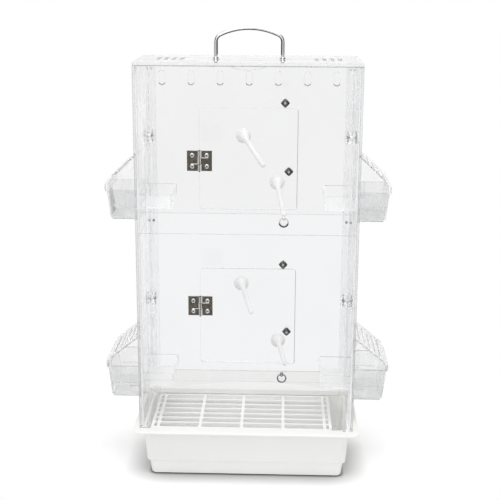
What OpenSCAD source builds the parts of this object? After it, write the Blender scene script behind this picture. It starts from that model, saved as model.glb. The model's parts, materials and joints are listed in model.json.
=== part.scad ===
// Two-level clear cage for small birds, standing on a white tray with a floor grille.
// Frame: +Z up, +Y to the back, origin on the floor under the middle of the tray.

/* [Cage body] */
// Width across the corner angles
body_w = 300; // [290:1:360]
// Depth across the corner angles
body_d = 137; // [134:1:170]
// Thickness of the clear panels and doors
sheet = 3; // [2.5:0.1:4]
// Thickness of the top sheet
top_t = 5; // [4:0.5:8]
// Height of the upper level, from the seam to the top sheet
upper_h = 222.5; // [218:0.5:260]
// Height of the lower front panel
lower_front_h = 210.5; // [206:0.5:250]
// Height of the open slot between the tray and the lower front panel
slot_h = 71; // [62:1:100]
// Height of the strip that closes the back below its panel
skirt_h = 38; // [20:1:60]
// Leg of the corner angles
post_leg = 15; // [13:0.5:20]
// Thickness of the corner angles
post_t = 3; // [2.8:0.1:4]
// Corner radius of the top sheet
top_corner_r = 3; // [1:0.5:6]

/* [Vents and notch] */
// Number of upright slots in the upper front panel
vent_count = 7; // [3:1:7]
// Distance between the upright slots
vent_pitch = 37.7; // [30:0.1:38]
// Width of an upright slot
vent_w = 7.4; // [5:0.1:9]
// Height of an upright slot
vent_h = 16.5; // [12:0.5:18]
// Distance from the top sheet down to the slots
vent_drop = 6.5; // [6:0.5:10]
// Distance of the row of slots from the middle, to the right
vent_shift = 2; // [0:0.5:4]
// Width of the thumb notch in the front panel's top edge
notch_w = 42; // [20:1:60]
// Depth of the thumb notch
notch_depth = 3.8; // [2:0.1:4.5]
// Number of slots in each group in the top sheet
top_slot_count = 4; // [2:1:5]
// Distance between the slots in the top sheet
top_slot_pitch = 10.5; // [9:0.5:12]
// Length of a slot in the top sheet
top_slot_len = 46; // [20:1:60]
// Width of a slot in the top sheet
top_slot_w = 5; // [3:0.5:6]
// Distance of each slot group from the middle
top_slot_x = 106; // [90:1:110]
// Number of small holes in front of the handle
top_hole_count = 5; // [3:1:7]
// Distance between the small holes
top_hole_pitch = 13; // [10:1:14]
// Diameter of a small hole
top_hole_d = 4; // [3:0.5:6]
// Distance of the small holes in front of the handle
top_hole_y = 22; // [15:1:30]

/* [Handle] */
// Distance between the handle's feet
handle_span = 90; // [80:1:110]
// Diameter of the handle rod
handle_d = 5.5; // [4:0.5:8]
// Height of the straight part of a leg
handle_leg = 23; // [18:1:40]
// Rise of the arch above the legs, to the rod's centre
handle_rise = 18; // [14:1:24]
// Radius of the arch's shoulders, at the rod's centre
handle_shoulder = 10; // [8:0.5:12]
// Diameter of the collar at each foot
collar_d = 10; // [9:0.5:14]
// Height of the collar
collar_h = 3; // [2:0.5:5]

/* [Doors] */
// Width of a door
door_w = 129; // [120:0.5:134]
// Height of a door
door_h = 134; // [125:0.5:136]
// Cut between a door and its panel
kerf = 0.8; // [0.5:0.1:1.2]
// Corner radius of a door
door_corner_r = 4; // [1:0.5:8]
// Distance of the hinge pins left of the middle
pin_x = 63; // [60:0.5:68]
// Distance from the top sheet down to the upper door
upper_door_drop = 53; // [44:0.5:56]
// Distance from the seam down to the lower door
lower_door_drop = 47.5; // [44:0.5:50]

/* [Hinges] */
// Height of a hinge
hinge_h = 27; // [24:0.5:30]
// Width of one hinge leaf, from the pin
leaf_w = 16.5; // [15:0.5:20]
// Thickness of a hinge leaf
leaf_t = 1; // [0.8:0.1:1.2]
// Diameter of a hinge pin
pin_d = 2; // [1.6:0.1:2.2]
// Outside diameter of the knuckles
knuckle_d = 4.2; // [4:0.1:5]
// Distance from the upper door's top edge down to its hinge
upper_hinge_drop = 70; // [40:1:90]
// Distance from the lower door's top edge down to its hinge
lower_hinge_drop = 53; // [40:1:90]
// Distance of the hinge screws from the pin
hinge_screw_x = 9.6; // [8.5:0.1:11]
// Distance between the two screws of a leaf
hinge_screw_pitch = 14.6; // [13:0.1:17]
// Diameter of a hinge screw's head
hinge_head_d = 6.2; // [5:0.1:6.6]

/* [Knobs, buttons and rings] */
// Diameter of a door knob's head
knob_d = 11.8; // [9:0.1:14]
// Height of a door knob off the door
knob_h = 8; // [6:0.5:12]
// Diameter of a door knob's stem
knob_stem_d = 5; // [4.5:0.5:6]
// Distance of the door knob from the door's free edge
knob_inset = 11.6; // [9:0.1:20]
// Distance from the upper door's top edge down to its knob
upper_knob_drop = 82.5; // [60:0.5:100]
// Distance from the lower door's top edge down to its knob
lower_knob_drop = 87; // [60:0.5:100]
// Diameter of a turn button
button_d = 11.8; // [11:0.1:13]
// Height of a turn button
button_h = 3.6; // [3:0.1:5]
// Distance of a button's pivot below its centre
button_offset = 2.2; // [1.8:0.1:2.4]
// Distance of a button's centre above the door's top edge
button_rise = 6.8; // [6.6:0.1:8]
// Distance of the buttons from the door's free edge
button_inset = 17.4; // [12:0.1:25]
// Outside diameter of a ring
ring_d = 13.5; // [12:0.1:16]
// Diameter of a ring's wire
ring_wire = 1.5; // [1.2:0.1:1.8]
// Diameter of a ring post
ring_post_d = 5; // [4.6:0.1:5.4]
// Length of a ring post off the panel
ring_post_len = 6.4; // [6:0.1:8]
// Distance from the upper door's bottom edge down to its ring post
upper_ring_drop = 12; // [8:0.5:20]
// Distance from the lower door's bottom edge down to its ring post
lower_ring_drop = 16; // [8:0.5:18]

/* [Feeders] */
// Width of a feeder along the side wall
feeder_w = 94; // [84:1:100]
// Wall of the hoods
hood_t = 2.5; // [2:0.1:3]
// Height of a hood's outer edge above the cup's lip
hood_skirt = 12; // [10:0.5:14]
// Rise of the upper hoods from the outer edge to the side panel
upper_hood_rise = 42; // [36:0.5:42]
// Rise of the lower hoods
lower_hood_rise = 39.5; // [36:0.5:44]
// Number of slots in a hood
hood_slot_count = 5; // [3:1:5]
// Distance between the slots of a hood
hood_slot_pitch = 9.6; // [8:0.1:10]
// Width of a slot in a hood
hood_slot_w = 4; // [3:0.1:5]
// Length of a slot in a hood
hood_slot_len = 74; // [50:1:76]
// Height of the upper cups' base above the seam
upper_cup_up = 14.2; // [8:0.1:18]
// Height of the lower cups' base above the tray
lower_cup_up = 37.5; // [20:0.5:44]
// Height of the upper cups
upper_cup_h = 40; // [38:0.5:42]
// Height of the lower cups
lower_cup_h = 44.5; // [40:0.5:48]
// Reach of the upper hoods out from the side panel
upper_reach = 44.5; // [40:0.5:52]
// Reach of the lower hoods out from the side panel
lower_reach = 49; // [40:0.5:54]
// Lean of a cup's outer wall
cup_lean = 5; // [2:0.5:8]
// Radius of the cup's lower outer edge
cup_edge_r = 5; // [3:0.5:8]
// Wall of the cups
cup_t = 2; // [1.6:0.1:2.4]
// Height of the finger lip in front of the hood
finger_h = 8; // [5:0.5:9]
// Depth of the trough inside the cage
trough_reach = 40; // [25:1:45]
// Height of the trough's floor above the cup's base
trough_up = 14.3; // [10:0.1:15]
// Height of the trough
trough_h = 20; // [16:0.5:21]
// Width of the trough
trough_w = 78; // [60:1:78]
// Length of the arms that carry a cup
arm_len = 18; // [12:0.5:24]
// Height of the arms above the cup's base
arm_up = 15.5; // [12:0.5:18]

/* [Perches] */
// Length of a perch from the wall
perch_len = 95; // [60:1:100]
// Diameter of a perch
perch_d = 7; // [6:0.5:9]
// Diameter of a perch's foot
foot_d = 22; // [18:0.5:26]
// Length of the flare from foot to stem
flare_len = 26; // [18:1:34]
// Upper left perch, right of the middle
perch_1_x = -10; // [-30:1:0]
// Upper left perch, drop from the top sheet
perch_1_drop = 107.5; // [80:0.5:130]
// Upper left perch, turn to the right
perch_1_turn = 20; // [0:0.5:25]
// Upper left perch, droop
perch_1_droop = 18; // [0:0.5:20]
// Upper right perch, right of the middle
perch_2_x = 39; // [30:1:60]
// Upper right perch, drop from the top sheet
perch_2_drop = 175; // [160:0.5:180]
// Upper right perch, turn to the right
perch_2_turn = 6.5; // [0:0.5:12]
// Upper right perch, droop
perch_2_droop = 18; // [0:0.5:20]
// Lower left perch, right of the middle
perch_3_x = -12; // [-30:1:0]
// Lower left perch, drop from the seam
perch_3_drop = 105; // [80:0.5:130]
// Lower left perch, turn to the right
perch_3_turn = 11; // [0:0.5:20]
// Lower left perch, droop
perch_3_droop = 10; // [0:0.5:16]
// Lower right perch, right of the middle
perch_4_x = 43; // [30:1:50]
// Lower right perch, drop from the seam
perch_4_drop = 193; // [160:0.5:200]
// Lower right perch, turn to the right
perch_4_turn = 6.5; // [0:0.5:10]
// Lower right perch, droop
perch_4_droop = 2; // [0:0.5:8]

/* [Side knobs] */
// Diameter of a side knob
side_knob_d = 18; // [15:0.5:22]
// Thickness of a side knob
side_knob_t = 8; // [6:0.5:10]
// Distance of the side knobs from the back panel
side_knob_in = 14.5; // [12:0.5:24]
// Height of the side knobs above the upper hoods
upper_side_knob_up = 7.5; // [6:0.5:30]
// Height of the side knobs above the lower hoods
lower_side_knob_up = 22.5; // [6:0.5:40]

/* [Tray and grille] */
// Height of the tray's flange above the floor
tray_h = 74; // [60:1:80]
// Thickness of the tray's flange
flange_t = 3; // [2:0.5:4]
// Overhang of the flange beyond the cage body at the sides
flange_side = 8; // [6:0.5:16]
// Overhang of the flange beyond the cage body at front and back
flange_front = 14.5; // [8:0.5:18]
// Distance of the tray wall inside the cage body's sides
wall_inset = 5.3; // [4:0.1:6]
// Distance of the tray wall inside the cage body's front and back
wall_inset_front = 2; // [1:0.1:3]
// Wall of the tray
tray_wall = 2.5; // [2:0.1:3]
// Floor of the tray
tray_floor = 3; // [2:0.5:5]
// Height of the step near the tray's bottom
step_h = 22; // [12:1:24]
// Width of the step
step_w = 3; // [2:0.5:5]
// Lean of the tray wall down to the step
tray_lean = 3.5; // [2:0.5:6]
// Lean of the tray wall below the step
foot_lean = 3; // [1:0.5:5]
// Corner radius of the tray
tray_corner_r = 9; // [6:0.5:14]
// Clearance between the grille and the tray wall at the left end
grille_gap_left = 7.2; // [3.2:0.2:11.2]
// Clearance between the grille and the tray wall at the right end
grille_gap_right = 21.2; // [17.2:0.2:25.2]
// Clearance between the grille and the tray wall, front and back
grille_gap = 2; // [1.9:0.1:3]
// Drop of the grille's top below the flange
grille_drop = 1; // [1:0.5:4]
// Height of the grille's frame and bars
grille_h = 3.2; // [2.4:0.1:5]
// Width of the grille's frame bars
grille_frame_w = 4; // [3:0.5:6]
// Width of the lengthwise bars
bar_w = 3.4; // [2.5:0.1:5]
// Number of lengthwise bars inside the frame
bar_count = 6; // [4:1:8]
// Width of the ribs
rib_w = 4.2; // [3:0.1:6]
// Clear width between each end of the frame and the outer rib
end_cell = 3.9; // [2.9:0.5:11.9]

/* [Hidden] */
$fn = 48;

// Fits
running = 0.05;
loose = 0.1;
side_play = 0.4;
knuckle_gap = 0.3;
past = 1;

// Colours
clear = [0.86, 0.90, 0.92, 0.35];
white = [0.95, 0.95, 0.92];
steel = [0.75, 0.76, 0.78];
nickel = [0.36, 0.34, 0.31];

// Heights
rim_z = tray_h;
front_foot_z = rim_z + slot_h;
back_foot_z = rim_z + skirt_h;
seam_z = front_foot_z + lower_front_h;
top_z = seam_z + upper_h;
total_h = top_z + top_t;

// Panel planes: outer faces of the panels stand one angle thickness inside the body
face_x = body_w / 2 - post_t;
face_y = body_d / 2 - post_t;
inner_x = face_x - sheet;
inner_y = face_y - sheet;
front_y = -face_y;

// Doors, hinges and what is fixed beside them
UPPER = 0;
LOWER = 1;
door_left = -pin_x + kerf / 2;
door_right = door_left + door_w;
door_top = [top_z - upper_door_drop, seam_z - lower_door_drop];
door_foot = [for (z = door_top) z - door_h];
hinge_z = [door_top[UPPER] - upper_hinge_drop, door_top[LOWER] - lower_hinge_drop];
knob_x = door_right - knob_inset;
knob_z = [door_top[UPPER] - upper_knob_drop, door_top[LOWER] - lower_knob_drop];
button_x = door_right - button_inset;
button_z = [for (z = door_top) z + button_rise];
ring_x = button_x;
ring_z = [door_foot[UPPER] - upper_ring_drop, door_foot[LOWER] - lower_ring_drop];
pin_y = front_y - knuckle_d / 2 - 0.2;
leaf_back = knuckle_d / 2 + 0.4;
knuckle_h = hinge_h / 3;
screw_shank_d = 2.6;
screw_head_h = 1.4;
knob_screw_d = 2.6;
knob_screw_in = 3;
knob_screw_head_d = 7;
knob_screw_head_h = 2;
pivot_d = 3;
pivot_head_d = 5;
pivot_head_h = 1.2;
ring_r = (ring_d - ring_wire) / 2;
ring_hole_y = ring_post_len - 2.8;
ring_sag = ring_r - sqrt(ring_r * ring_r - ring_post_d * ring_post_d / 4);
ring_hole_r = ring_wire / 2 + ring_sag + 0.15;

// Feeders
cup_h = [upper_cup_h, lower_cup_h];
lip_z = [seam_z + upper_cup_up + upper_cup_h, rim_z + lower_cup_up + lower_cup_h];
reach = [upper_reach, lower_reach];
hood_rise = [upper_hood_rise, lower_hood_rise];
arm_in = 3;
arm_t = 2.4;
cup_body_w = feeder_w - 2 * (hood_t + side_play + arm_in);
skirt_gap = 0.5;
window_play = 1;

// Bolts
bolt_d = 4;
bolt_head_d = 10;
bolt_head_h = 2.6;
bolt_in = 8;
post_screw_d = 2.2;
post_screw_head_d = 3.8;
post_screw_head_h = 1;
post_screw_from_seam = 12;
post_screw_from_end = 14;
lobe_r = 1.6;

module round_plate(w, h, r) {
    square([w - 2 * r, h], center = true);
    square([w, h - 2 * r], center = true);
    for (x = [-1, 1], y = [-1, 1])
        translate([x * (w / 2 - r), y * (h / 2 - r)])
            circle(r);
}

module stadium(w, h) {
    translate([0, h / 2 - w / 2]) circle(d = w);
    translate([0, w / 2 - h / 2]) circle(d = w);
    square([w, h - w], center = true);
}

// Lays a flat shape drawn in X and Z on a wall, from y0 back to y1
module wall_sheet(y0, y1) {
    translate([0, y1, 0])
        rotate([90, 0, 0])
            linear_extrude(y1 - y0)
                children();
}

// The same for a side wall, drawn in Y and Z
module side_sheet(x0, x1) {
    translate([x0, 0, 0])
        rotate([90, 0, 90])
            linear_extrude(x1 - x0)
                children();
}

module hole_y(x, z, d) {
    translate([x, 0, z])
        rotate([90, 0, 0])
            cylinder(d = d, h = 2 * body_d, center = true);
}

// Tray and grille
module tray_slab(w, d, r, z, h) {
    translate([0, 0, z])
        linear_extrude(h)
            round_plate(w, d, r);
}

tray_top_w = body_w - 2 * wall_inset;
tray_top_d = body_d - 2 * wall_inset_front;
skin = 0.01;
grille_top = rim_z - grille_drop;
grille_foot = grille_top - grille_h;
grille_w = tray_top_w - 2 * tray_wall - grille_gap_left - grille_gap_right;
grille_d = tray_top_d - 2 * tray_wall - 2 * grille_gap;
grille_shift = (grille_gap_right - grille_gap_left) / 2;
ledge_t = 3;
ledge_in = 3;
ledge_root = 5;

module tray_form(inset, foot_z, shelf_z) {
    upper_in = 2 * (tray_lean + inset);
    step_in = upper_in + 2 * step_w;
    foot_in = step_in + 2 * foot_lean;
    corner = tray_corner_r - inset;
    hull() {
        tray_slab(tray_top_w - 2 * inset, tray_top_d - 2 * inset, corner, rim_z - skin, skin);
        tray_slab(tray_top_w - upper_in, tray_top_d - upper_in, corner, shelf_z, skin);
    }
    hull() {
        tray_slab(tray_top_w - step_in, tray_top_d - step_in, corner, shelf_z, 2 * skin);
        tray_slab(tray_top_w - foot_in, tray_top_d - foot_in, corner, foot_z, skin);
    }
}

module base_tray() {
    flange_w = body_w + 2 * flange_side;
    flange_d = body_d + 2 * flange_front;
    ledge_y = tray_top_d / 2 - tray_wall - tray_lean;
    color(white) {
        difference() {
            union() {
                tray_form(0, 0, step_h);
                tray_slab(flange_w, flange_d, tray_corner_r, rim_z - flange_t, flange_t);
            }
            tray_form(tray_wall, tray_floor, step_h + tray_wall);
            tray_slab(tray_top_w - 2 * tray_wall, tray_top_d - 2 * tray_wall,
                tray_corner_r - tray_wall, rim_z - skin, past);
        }
        // Ledges along the front and back walls that carry the grille
        for (s = [-1, 1])
            translate([-grille_shift, s * (ledge_y + (ledge_root - ledge_in) / 2), grille_foot - ledge_t / 2])
                cube([grille_w, ledge_in + ledge_root, ledge_t], center = true);
    }
}

module floor_grille() {
    inner_w = grille_w - 2 * grille_frame_w;
    inner_d = grille_d - 2 * grille_frame_w;
    bar_pitch = (inner_d + bar_w) / (bar_count + 1);
    rib_pitch = (inner_w / 2 - end_cell - rib_w / 2) / 2;
    color(white)
        translate([-grille_shift, 0, grille_foot])
            linear_extrude(grille_h) {
                difference() {
                    round_plate(grille_w, grille_d, tray_corner_r - tray_wall - grille_gap);
                    square([inner_w, inner_d], center = true);
                }
                for (i = [1:bar_count])
                    translate([0, i * bar_pitch - inner_d / 2 - bar_w / 2])
                        square([inner_w + 2 * skin, bar_w], center = true);
                for (i = [-2:2])
                    translate([i * rib_pitch, 0])
                        square([rib_w, inner_d + 2 * skin], center = true);
            }
}

// Frame of the body
post_screw_z = [
    rim_z + post_screw_from_end, seam_z - post_screw_from_seam,
    seam_z + post_screw_from_seam, top_z - post_screw_from_end
];
post_screw_x = body_w / 2 - post_leg / 2 - post_t / 2;

module corner_post(side, back) {
    color(clear)
        difference() {
            mirror([side < 0 ? 1 : 0, 0, 0])
                mirror([0, back ? 0 : 1, 0])
                    translate([body_w / 2, body_d / 2, rim_z])
                        linear_extrude(top_z - rim_z) {
                            translate([-post_leg, -post_t]) square([post_leg, post_t]);
                            translate([-post_t, -post_leg]) square([post_t, post_leg]);
                        }
            if (back) post_holes();
        }
}

module post_holes() {
    for (x = [-1, 1], z = post_screw_z)
        hole_y(x * post_screw_x, z, post_screw_d + 2 * running);
}

module post_screws() {
    color(steel)
        for (x = [-1, 1], z = post_screw_z)
            translate([x * post_screw_x, body_d / 2, z])
                rotate([-90, 0, 0]) {
                    cylinder(d = post_screw_head_d, h = post_screw_head_h);
                    translate([0, 0, -post_t - sheet])
                        cylinder(d = post_screw_d, h = post_t + sheet + skin);
                }
}

module top_panel() {
    color(clear)
        difference() {
            translate([0, 0, top_z])
                linear_extrude(top_t)
                    difference() {
                        round_plate(body_w, body_d, top_corner_r);
                        for (s = [-1, 1], i = [0:top_slot_count - 1])
                            translate([s * top_slot_x + (i - (top_slot_count - 1) / 2) * top_slot_pitch, 0])
                                stadium(top_slot_w, top_slot_len);
                        for (i = [0:top_hole_count - 1])
                            translate([(i - (top_hole_count - 1) / 2) * top_hole_pitch, -top_hole_y])
                                circle(d = top_hole_d);
                    }
            for (s = [-1, 1])
                translate([s * handle_span / 2, 0, top_z - past])
                    cylinder(d = handle_screw_d + 2 * loose, h = top_t + 2 * past);
        }
}

module door_outline(level, grow) {
    translate([door_left + door_w / 2, door_foot[level] + door_h / 2])
        round_plate(door_w + 2 * grow, door_h + 2 * grow, door_corner_r + grow);
}

module front_panel(level) {
    foot = level == UPPER ? seam_z : front_foot_z;
    head = level == UPPER ? top_z : seam_z;
    notch_r = (notch_w * notch_w / 4 + notch_depth * notch_depth) / (2 * notch_depth);
    color(clear)
        difference() {
            wall_sheet(front_y, front_y + sheet)
                difference() {
                    translate([-face_x, foot]) square([2 * face_x, head - foot]);
                    door_outline(level, kerf);
                    if (level == UPPER) {
                        for (i = [0:vent_count - 1])
                            translate([vent_shift + (i - (vent_count - 1) / 2) * vent_pitch,
                                    top_z - vent_drop - vent_h / 2])
                                stadium(vent_w, vent_h);
                        translate([0, top_z - notch_depth + notch_r])
                            circle(notch_r, $fn = 240);
                    }
                }
            hinge_holes(level, -1);
            hole_y(button_x, button_z[level] - button_offset, pivot_d + 2 * running);
            hole_y(ring_x, ring_z[level], screw_shank_d + 2 * running);
        }
}

perch_x = [perch_1_x, perch_2_x, perch_3_x, perch_4_x];
perch_z = [top_z - perch_1_drop, top_z - perch_2_drop, seam_z - perch_3_drop, seam_z - perch_4_drop];
perch_turn = [perch_1_turn, perch_2_turn, perch_3_turn, perch_4_turn];
perch_droop = [perch_1_droop, perch_2_droop, perch_3_droop, perch_4_droop];

module back_panel(level) {
    foot = level == UPPER ? seam_z : back_foot_z;
    head = level == UPPER ? top_z : seam_z;
    color(clear)
        difference() {
            translate([-face_x, inner_y, foot]) cube([2 * face_x, sheet, head - foot]);
            post_holes();
            for (i = [0:3])
                hole_y(perch_x[i], perch_z[i], bolt_d + 2 * loose);
        }
}

module back_skirt() {
    color(clear)
        difference() {
            translate([-face_x, inner_y, rim_z]) cube([2 * face_x, sheet, skirt_h]);
            post_holes();
        }
}

// Side walls and feeders
trough_z = [for (i = [0:1]) lip_z[i] - cup_h[i] + trough_up];
hood_top_z = [for (i = [0:1]) lip_z[i] + hood_skirt + hood_rise[i]];
side_knob_z = [hood_top_z[UPPER] + upper_side_knob_up, hood_top_z[LOWER] + lower_side_knob_up];
side_knob_y = inner_y - side_knob_in;

module side_panel(side, level) {
    foot = level == UPPER ? seam_z : rim_z;
    head = level == UPPER ? top_z : seam_z;
    color(clear)
        mirror([side < 0 ? 1 : 0, 0, 0])
            side_sheet(inner_x, face_x)
                difference() {
                    translate([-inner_y, foot]) square([2 * inner_y, head - foot]);
                    translate([0, trough_z[level] + trough_h / 2])
                        round_plate(trough_w + 2 * window_play, trough_h + 2 * window_play, 3);
                    translate([side_knob_y, side_knob_z[level]])
                        circle(d = bolt_d + 2 * loose);
                }
}

// Hood: a slope with a skirt at its outer edge, two cheeks, and an arm on each cheek for the cup
module feeder_hood(side, level) {
    out = reach[level];
    rise = hood_rise[level];
    slope = atan2(rise, out);
    color(clear)
        mirror([side < 0 ? 1 : 0, 0, 0])
            translate([face_x, 0, lip_z[level]]) {
                difference() {
                    wall_sheet(-feeder_w / 2, feeder_w / 2)
                        polygon([[0, hood_skirt + rise], [0, hood_skirt + rise - hood_t / cos(slope)],
                            [out - hood_t, hood_skirt + hood_t * rise / out - hood_t / cos(slope)],
                            [out - hood_t, skirt_gap], [out, skirt_gap], [out, hood_skirt]]);
                    for (i = [0:hood_slot_count - 1])
                        translate([out / 2, 0, hood_skirt + rise / 2])
                            rotate([0, slope, 0])
                                translate([(i - (hood_slot_count - 1) / 2) * hood_slot_pitch, 0, -2 * hood_t])
                                    linear_extrude(4 * hood_t)
                                        stadium(hood_slot_w, hood_slot_len);
                }
                for (s = [-1, 1])
                    hood_cheek(s, level);
            }
}

module hood_cheek(s, level) {
    out = reach[level];
    drop = cup_h[level] - arm_up;
    y0 = s > 0 ? feeder_w / 2 - hood_t : -feeder_w / 2;
    ledge_y = s > 0 ? feeder_w / 2 - hood_t - arm_in : -feeder_w / 2;
    wall_sheet(y0, y0 + hood_t)
        polygon([[0, hood_skirt + hood_rise[level]], [out, hood_skirt], [out, skirt_gap],
            [arm_len, skirt_gap], [arm_len, -drop], [0, -drop]]);
    translate([0, ledge_y, -drop])
        cube([arm_len, hood_t + arm_in, arm_t]);
}

// Side view of a cup, inset from its outer faces; the outer wall leans and its lower edge is round
module cup_side(level, inset, head) {
    h = cup_h[level];
    out = reach[level] - inset;
    lean = atan2(cup_lean, h);
    r = max(cup_edge_r - inset, 0.5);
    base = inset - h;
    foot = out - cup_lean * (h - inset) / h;
    centre = foot - r * (1 - sin(lean)) / cos(lean);
    polygon(concat([[loose + inset, head], [loose + inset, base]],
        [for (k = [0:8]) let (a = -90 + k * (90 - lean) / 8) [centre + r * cos(a), base + r + r * sin(a)]],
        [[out + (head > 0 ? head * cup_lean / h : 0), head]]));
}

module feeder_cup(side, level) {
    h = cup_h[level];
    out = reach[level];
    in = sheet + trough_reach;
    floor_z = trough_up - h;
    rib_z = arm_up + arm_t + loose - h;
    lip_z0 = -cup_t;
    color(clear)
        mirror([side < 0 ? 1 : 0, 0, 0])
            translate([face_x, 0, lip_z[level]]) {
                difference() {
                    union() {
                        wall_sheet(-cup_body_w / 2, cup_body_w / 2) cup_side(level, 0, 0);
                        translate([-in, -trough_w / 2, floor_z])
                            cube([in + cup_t, trough_w, trough_h]);
                        // Ribs that ride on the hood's arms
                        for (s = [-1, 1])
                            translate([loose, s > 0 ? cup_body_w / 2 - skin : -cup_body_w / 2 - arm_in, rib_z])
                                cube([out - cup_lean - 2 * cup_t, arm_in + skin, cup_t]);
                    }
                    wall_sheet(-cup_body_w / 2 + cup_t, cup_body_w / 2 - cup_t) cup_side(level, cup_t, past);
                    translate([-in + cup_t, -trough_w / 2 + cup_t, floor_z + cup_t])
                        cube([in - cup_t + loose + cup_t + past, trough_w - 2 * cup_t, trough_h]);
                }
                // Finger lip: a step outward at the top of the outer wall, then up in front of the hood
                wall_sheet(-cup_body_w / 2, cup_body_w / 2)
                    polygon([[out - cup_t, lip_z0], [out + skirt_gap + cup_t, lip_z0],
                        [out + skirt_gap + cup_t, finger_h], [out + skirt_gap, finger_h],
                        [out + skirt_gap, 0], [out - cup_t, 0]]);
            }
}

// Perches: a flared foot flat on the back panel and a stem that droops and turns a little
module perch(i) {
    stem_r = perch_d / 2;
    flare_r = foot_d / 2 - 1;
    flare = [for (k = [0:12]) let (t = k / 12)
        [stem_r + (flare_r - stem_r) * (1 - t) * (1 - t) * (1 - t / 2), t * flare_len]];
    tip = [for (k = [0:8]) [stem_r * cos(k * 11.25), perch_len - stem_r + stem_r * sin(k * 11.25)]];
    behind = foot_d / 2;
    color(white)
        difference() {
            union() {
                translate([perch_x[i], inner_y, perch_z[i]])
                    rotate([90 + perch_droop[i], 0, perch_turn[i]]) {
                        rotate_extrude()
                            polygon(concat([[0, 0]], flare, tip));
                        translate([0, 0, -behind]) cylinder(r = flare_r, h = behind + skin);
                    }
                translate([perch_x[i], inner_y, perch_z[i]])
                    rotate([90, 0, 0])
                        cylinder(d = foot_d, h = 2.5);
            }
            translate([perch_x[i] - foot_d, inner_y, perch_z[i] - foot_d])
                cube([2 * foot_d, 2 * foot_d, 2 * foot_d]);
            translate([perch_x[i], inner_y + skin, perch_z[i]])
                rotate([90, 0, 0])
                    cylinder(d = bolt_d + 2 * running, h = bolt_in + 0.5);
        }
}

module perch_bolts() {
    color(steel)
        for (i = [0:3])
            translate([perch_x[i], face_y, perch_z[i]])
                bolt();
}

// Bolt along Y: its head stands behind the wall, its shank runs forward through it
module bolt() {
    rotate([-90, 0, 0]) {
        cylinder(d = bolt_head_d, h = bolt_head_h);
        translate([0, 0, -sheet - bolt_in])
            cylinder(d = bolt_d, h = sheet + bolt_in + skin);
    }
}

module side_knob(side, level) {
    color(clear)
        mirror([side < 0 ? 1 : 0, 0, 0])
            translate([inner_x, side_knob_y, side_knob_z[level]])
                rotate([0, -90, 0])
                    difference() {
                        rotate_extrude()
                            polygon([[0, 0], [side_knob_d / 2 - 1, 0], [side_knob_d / 2, 1],
                                [side_knob_d / 2, side_knob_t - 1.5], [side_knob_d / 2 - 1.5, side_knob_t],
                                [0, side_knob_t]]);
                        translate([0, 0, -skin]) cylinder(d = bolt_d + 2 * running, h = side_knob_t - 2);
                        for (a = [0:60:300])
                            rotate(a)
                                translate([side_knob_d / 2 + lobe_r / 2, 0, -past])
                                    cylinder(r = lobe_r, h = side_knob_t + 2 * past);
                    }
}

module side_knob_bolts() {
    color(steel)
        for (s = [-1, 1], z = side_knob_z)
            mirror([s < 0 ? 1 : 0, 0, 0])
                translate([face_x, side_knob_y, z])
                    rotate([0, 90, 0]) {
                        cylinder(d = bolt_head_d, h = bolt_head_h);
                        translate([0, 0, -sheet - side_knob_t + 2.5])
                            cylinder(d = bolt_d, h = sheet + side_knob_t - 2.5 + skin);
                    }
}

// Handle: straight legs, two shoulders and a flat arch that meet without a corner
handle_screw_d = 3;
handle_screw_head_d = 7;
handle_screw_head_h = 2;
handle_screw_in = 9;

// Each stretch of the rod is a hair thinner than the one it grows out of, and starts inside it
rod_step = 0.06;
rod_overlap = 0.3;

module handle() {
    half = handle_span / 2;
    r1 = handle_shoulder;
    reach_in = half - r1;
    arch_r = (reach_in * reach_in + handle_rise * handle_rise - r1 * r1) / (2 * (handle_rise - r1));
    arch_half = atan2(reach_in, arch_r - handle_rise);
    shoulder_over = rod_overlap / r1 * 180 / PI;
    arch_over = rod_overlap / arch_r * 180 / PI;
    color(steel)
        difference() {
            translate([0, 0, total_h]) {
                for (s = [-1, 1])
                    translate([s * half, 0, 0]) {
                        cylinder(d = handle_d, h = handle_leg);
                        cylinder(d = collar_d, h = collar_h);
                    }
                for (m = [0, 1])
                    mirror([m, 0, 0])
                        translate([reach_in, 0, handle_leg])
                            rotate([90, 0, 0])
                                rotate([0, 0, -shoulder_over])
                                    rotate_extrude(angle = 90 - arch_half + shoulder_over)
                                        translate([r1, 0]) circle(d = handle_d - rod_step);
                translate([0, 0, handle_leg + handle_rise - arch_r])
                    rotate([90, 0, 0])
                        rotate([0, 0, 90 - arch_half - arch_over])
                            rotate_extrude(angle = 2 * (arch_half + arch_over), $fn = 160)
                                translate([arch_r, 0]) circle(d = handle_d - 2 * rod_step, $fn = 48);
            }
            for (s = [-1, 1])
                translate([s * half, 0, total_h - skin])
                    cylinder(d = handle_screw_d + 2 * running, h = handle_screw_in + skin);
        }
}

module handle_screws() {
    color(steel)
        for (s = [-1, 1])
            translate([s * handle_span / 2, 0, top_z]) {
                translate([0, 0, -handle_screw_head_h])
                    cylinder(d = handle_screw_head_d, h = handle_screw_head_h);
                translate([0, 0, -skin])
                    cylinder(d = handle_screw_d, h = top_t + handle_screw_in - 0.5 + skin);
            }
}

// Doors and hinges
module hinge_holes(level, side) {
    for (s = [-1, 1])
        hole_y(-pin_x + side * hinge_screw_x, hinge_z[level] + s * hinge_screw_pitch / 2,
            screw_shank_d + 2 * running);
}

module door(level) {
    color(clear)
        difference() {
            wall_sheet(front_y, front_y + sheet)
                door_outline(level, 0);
            hinge_holes(level, 1);
            hole_y(knob_x, knob_z[level], knob_screw_d + 2 * loose);
        }
}

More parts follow.
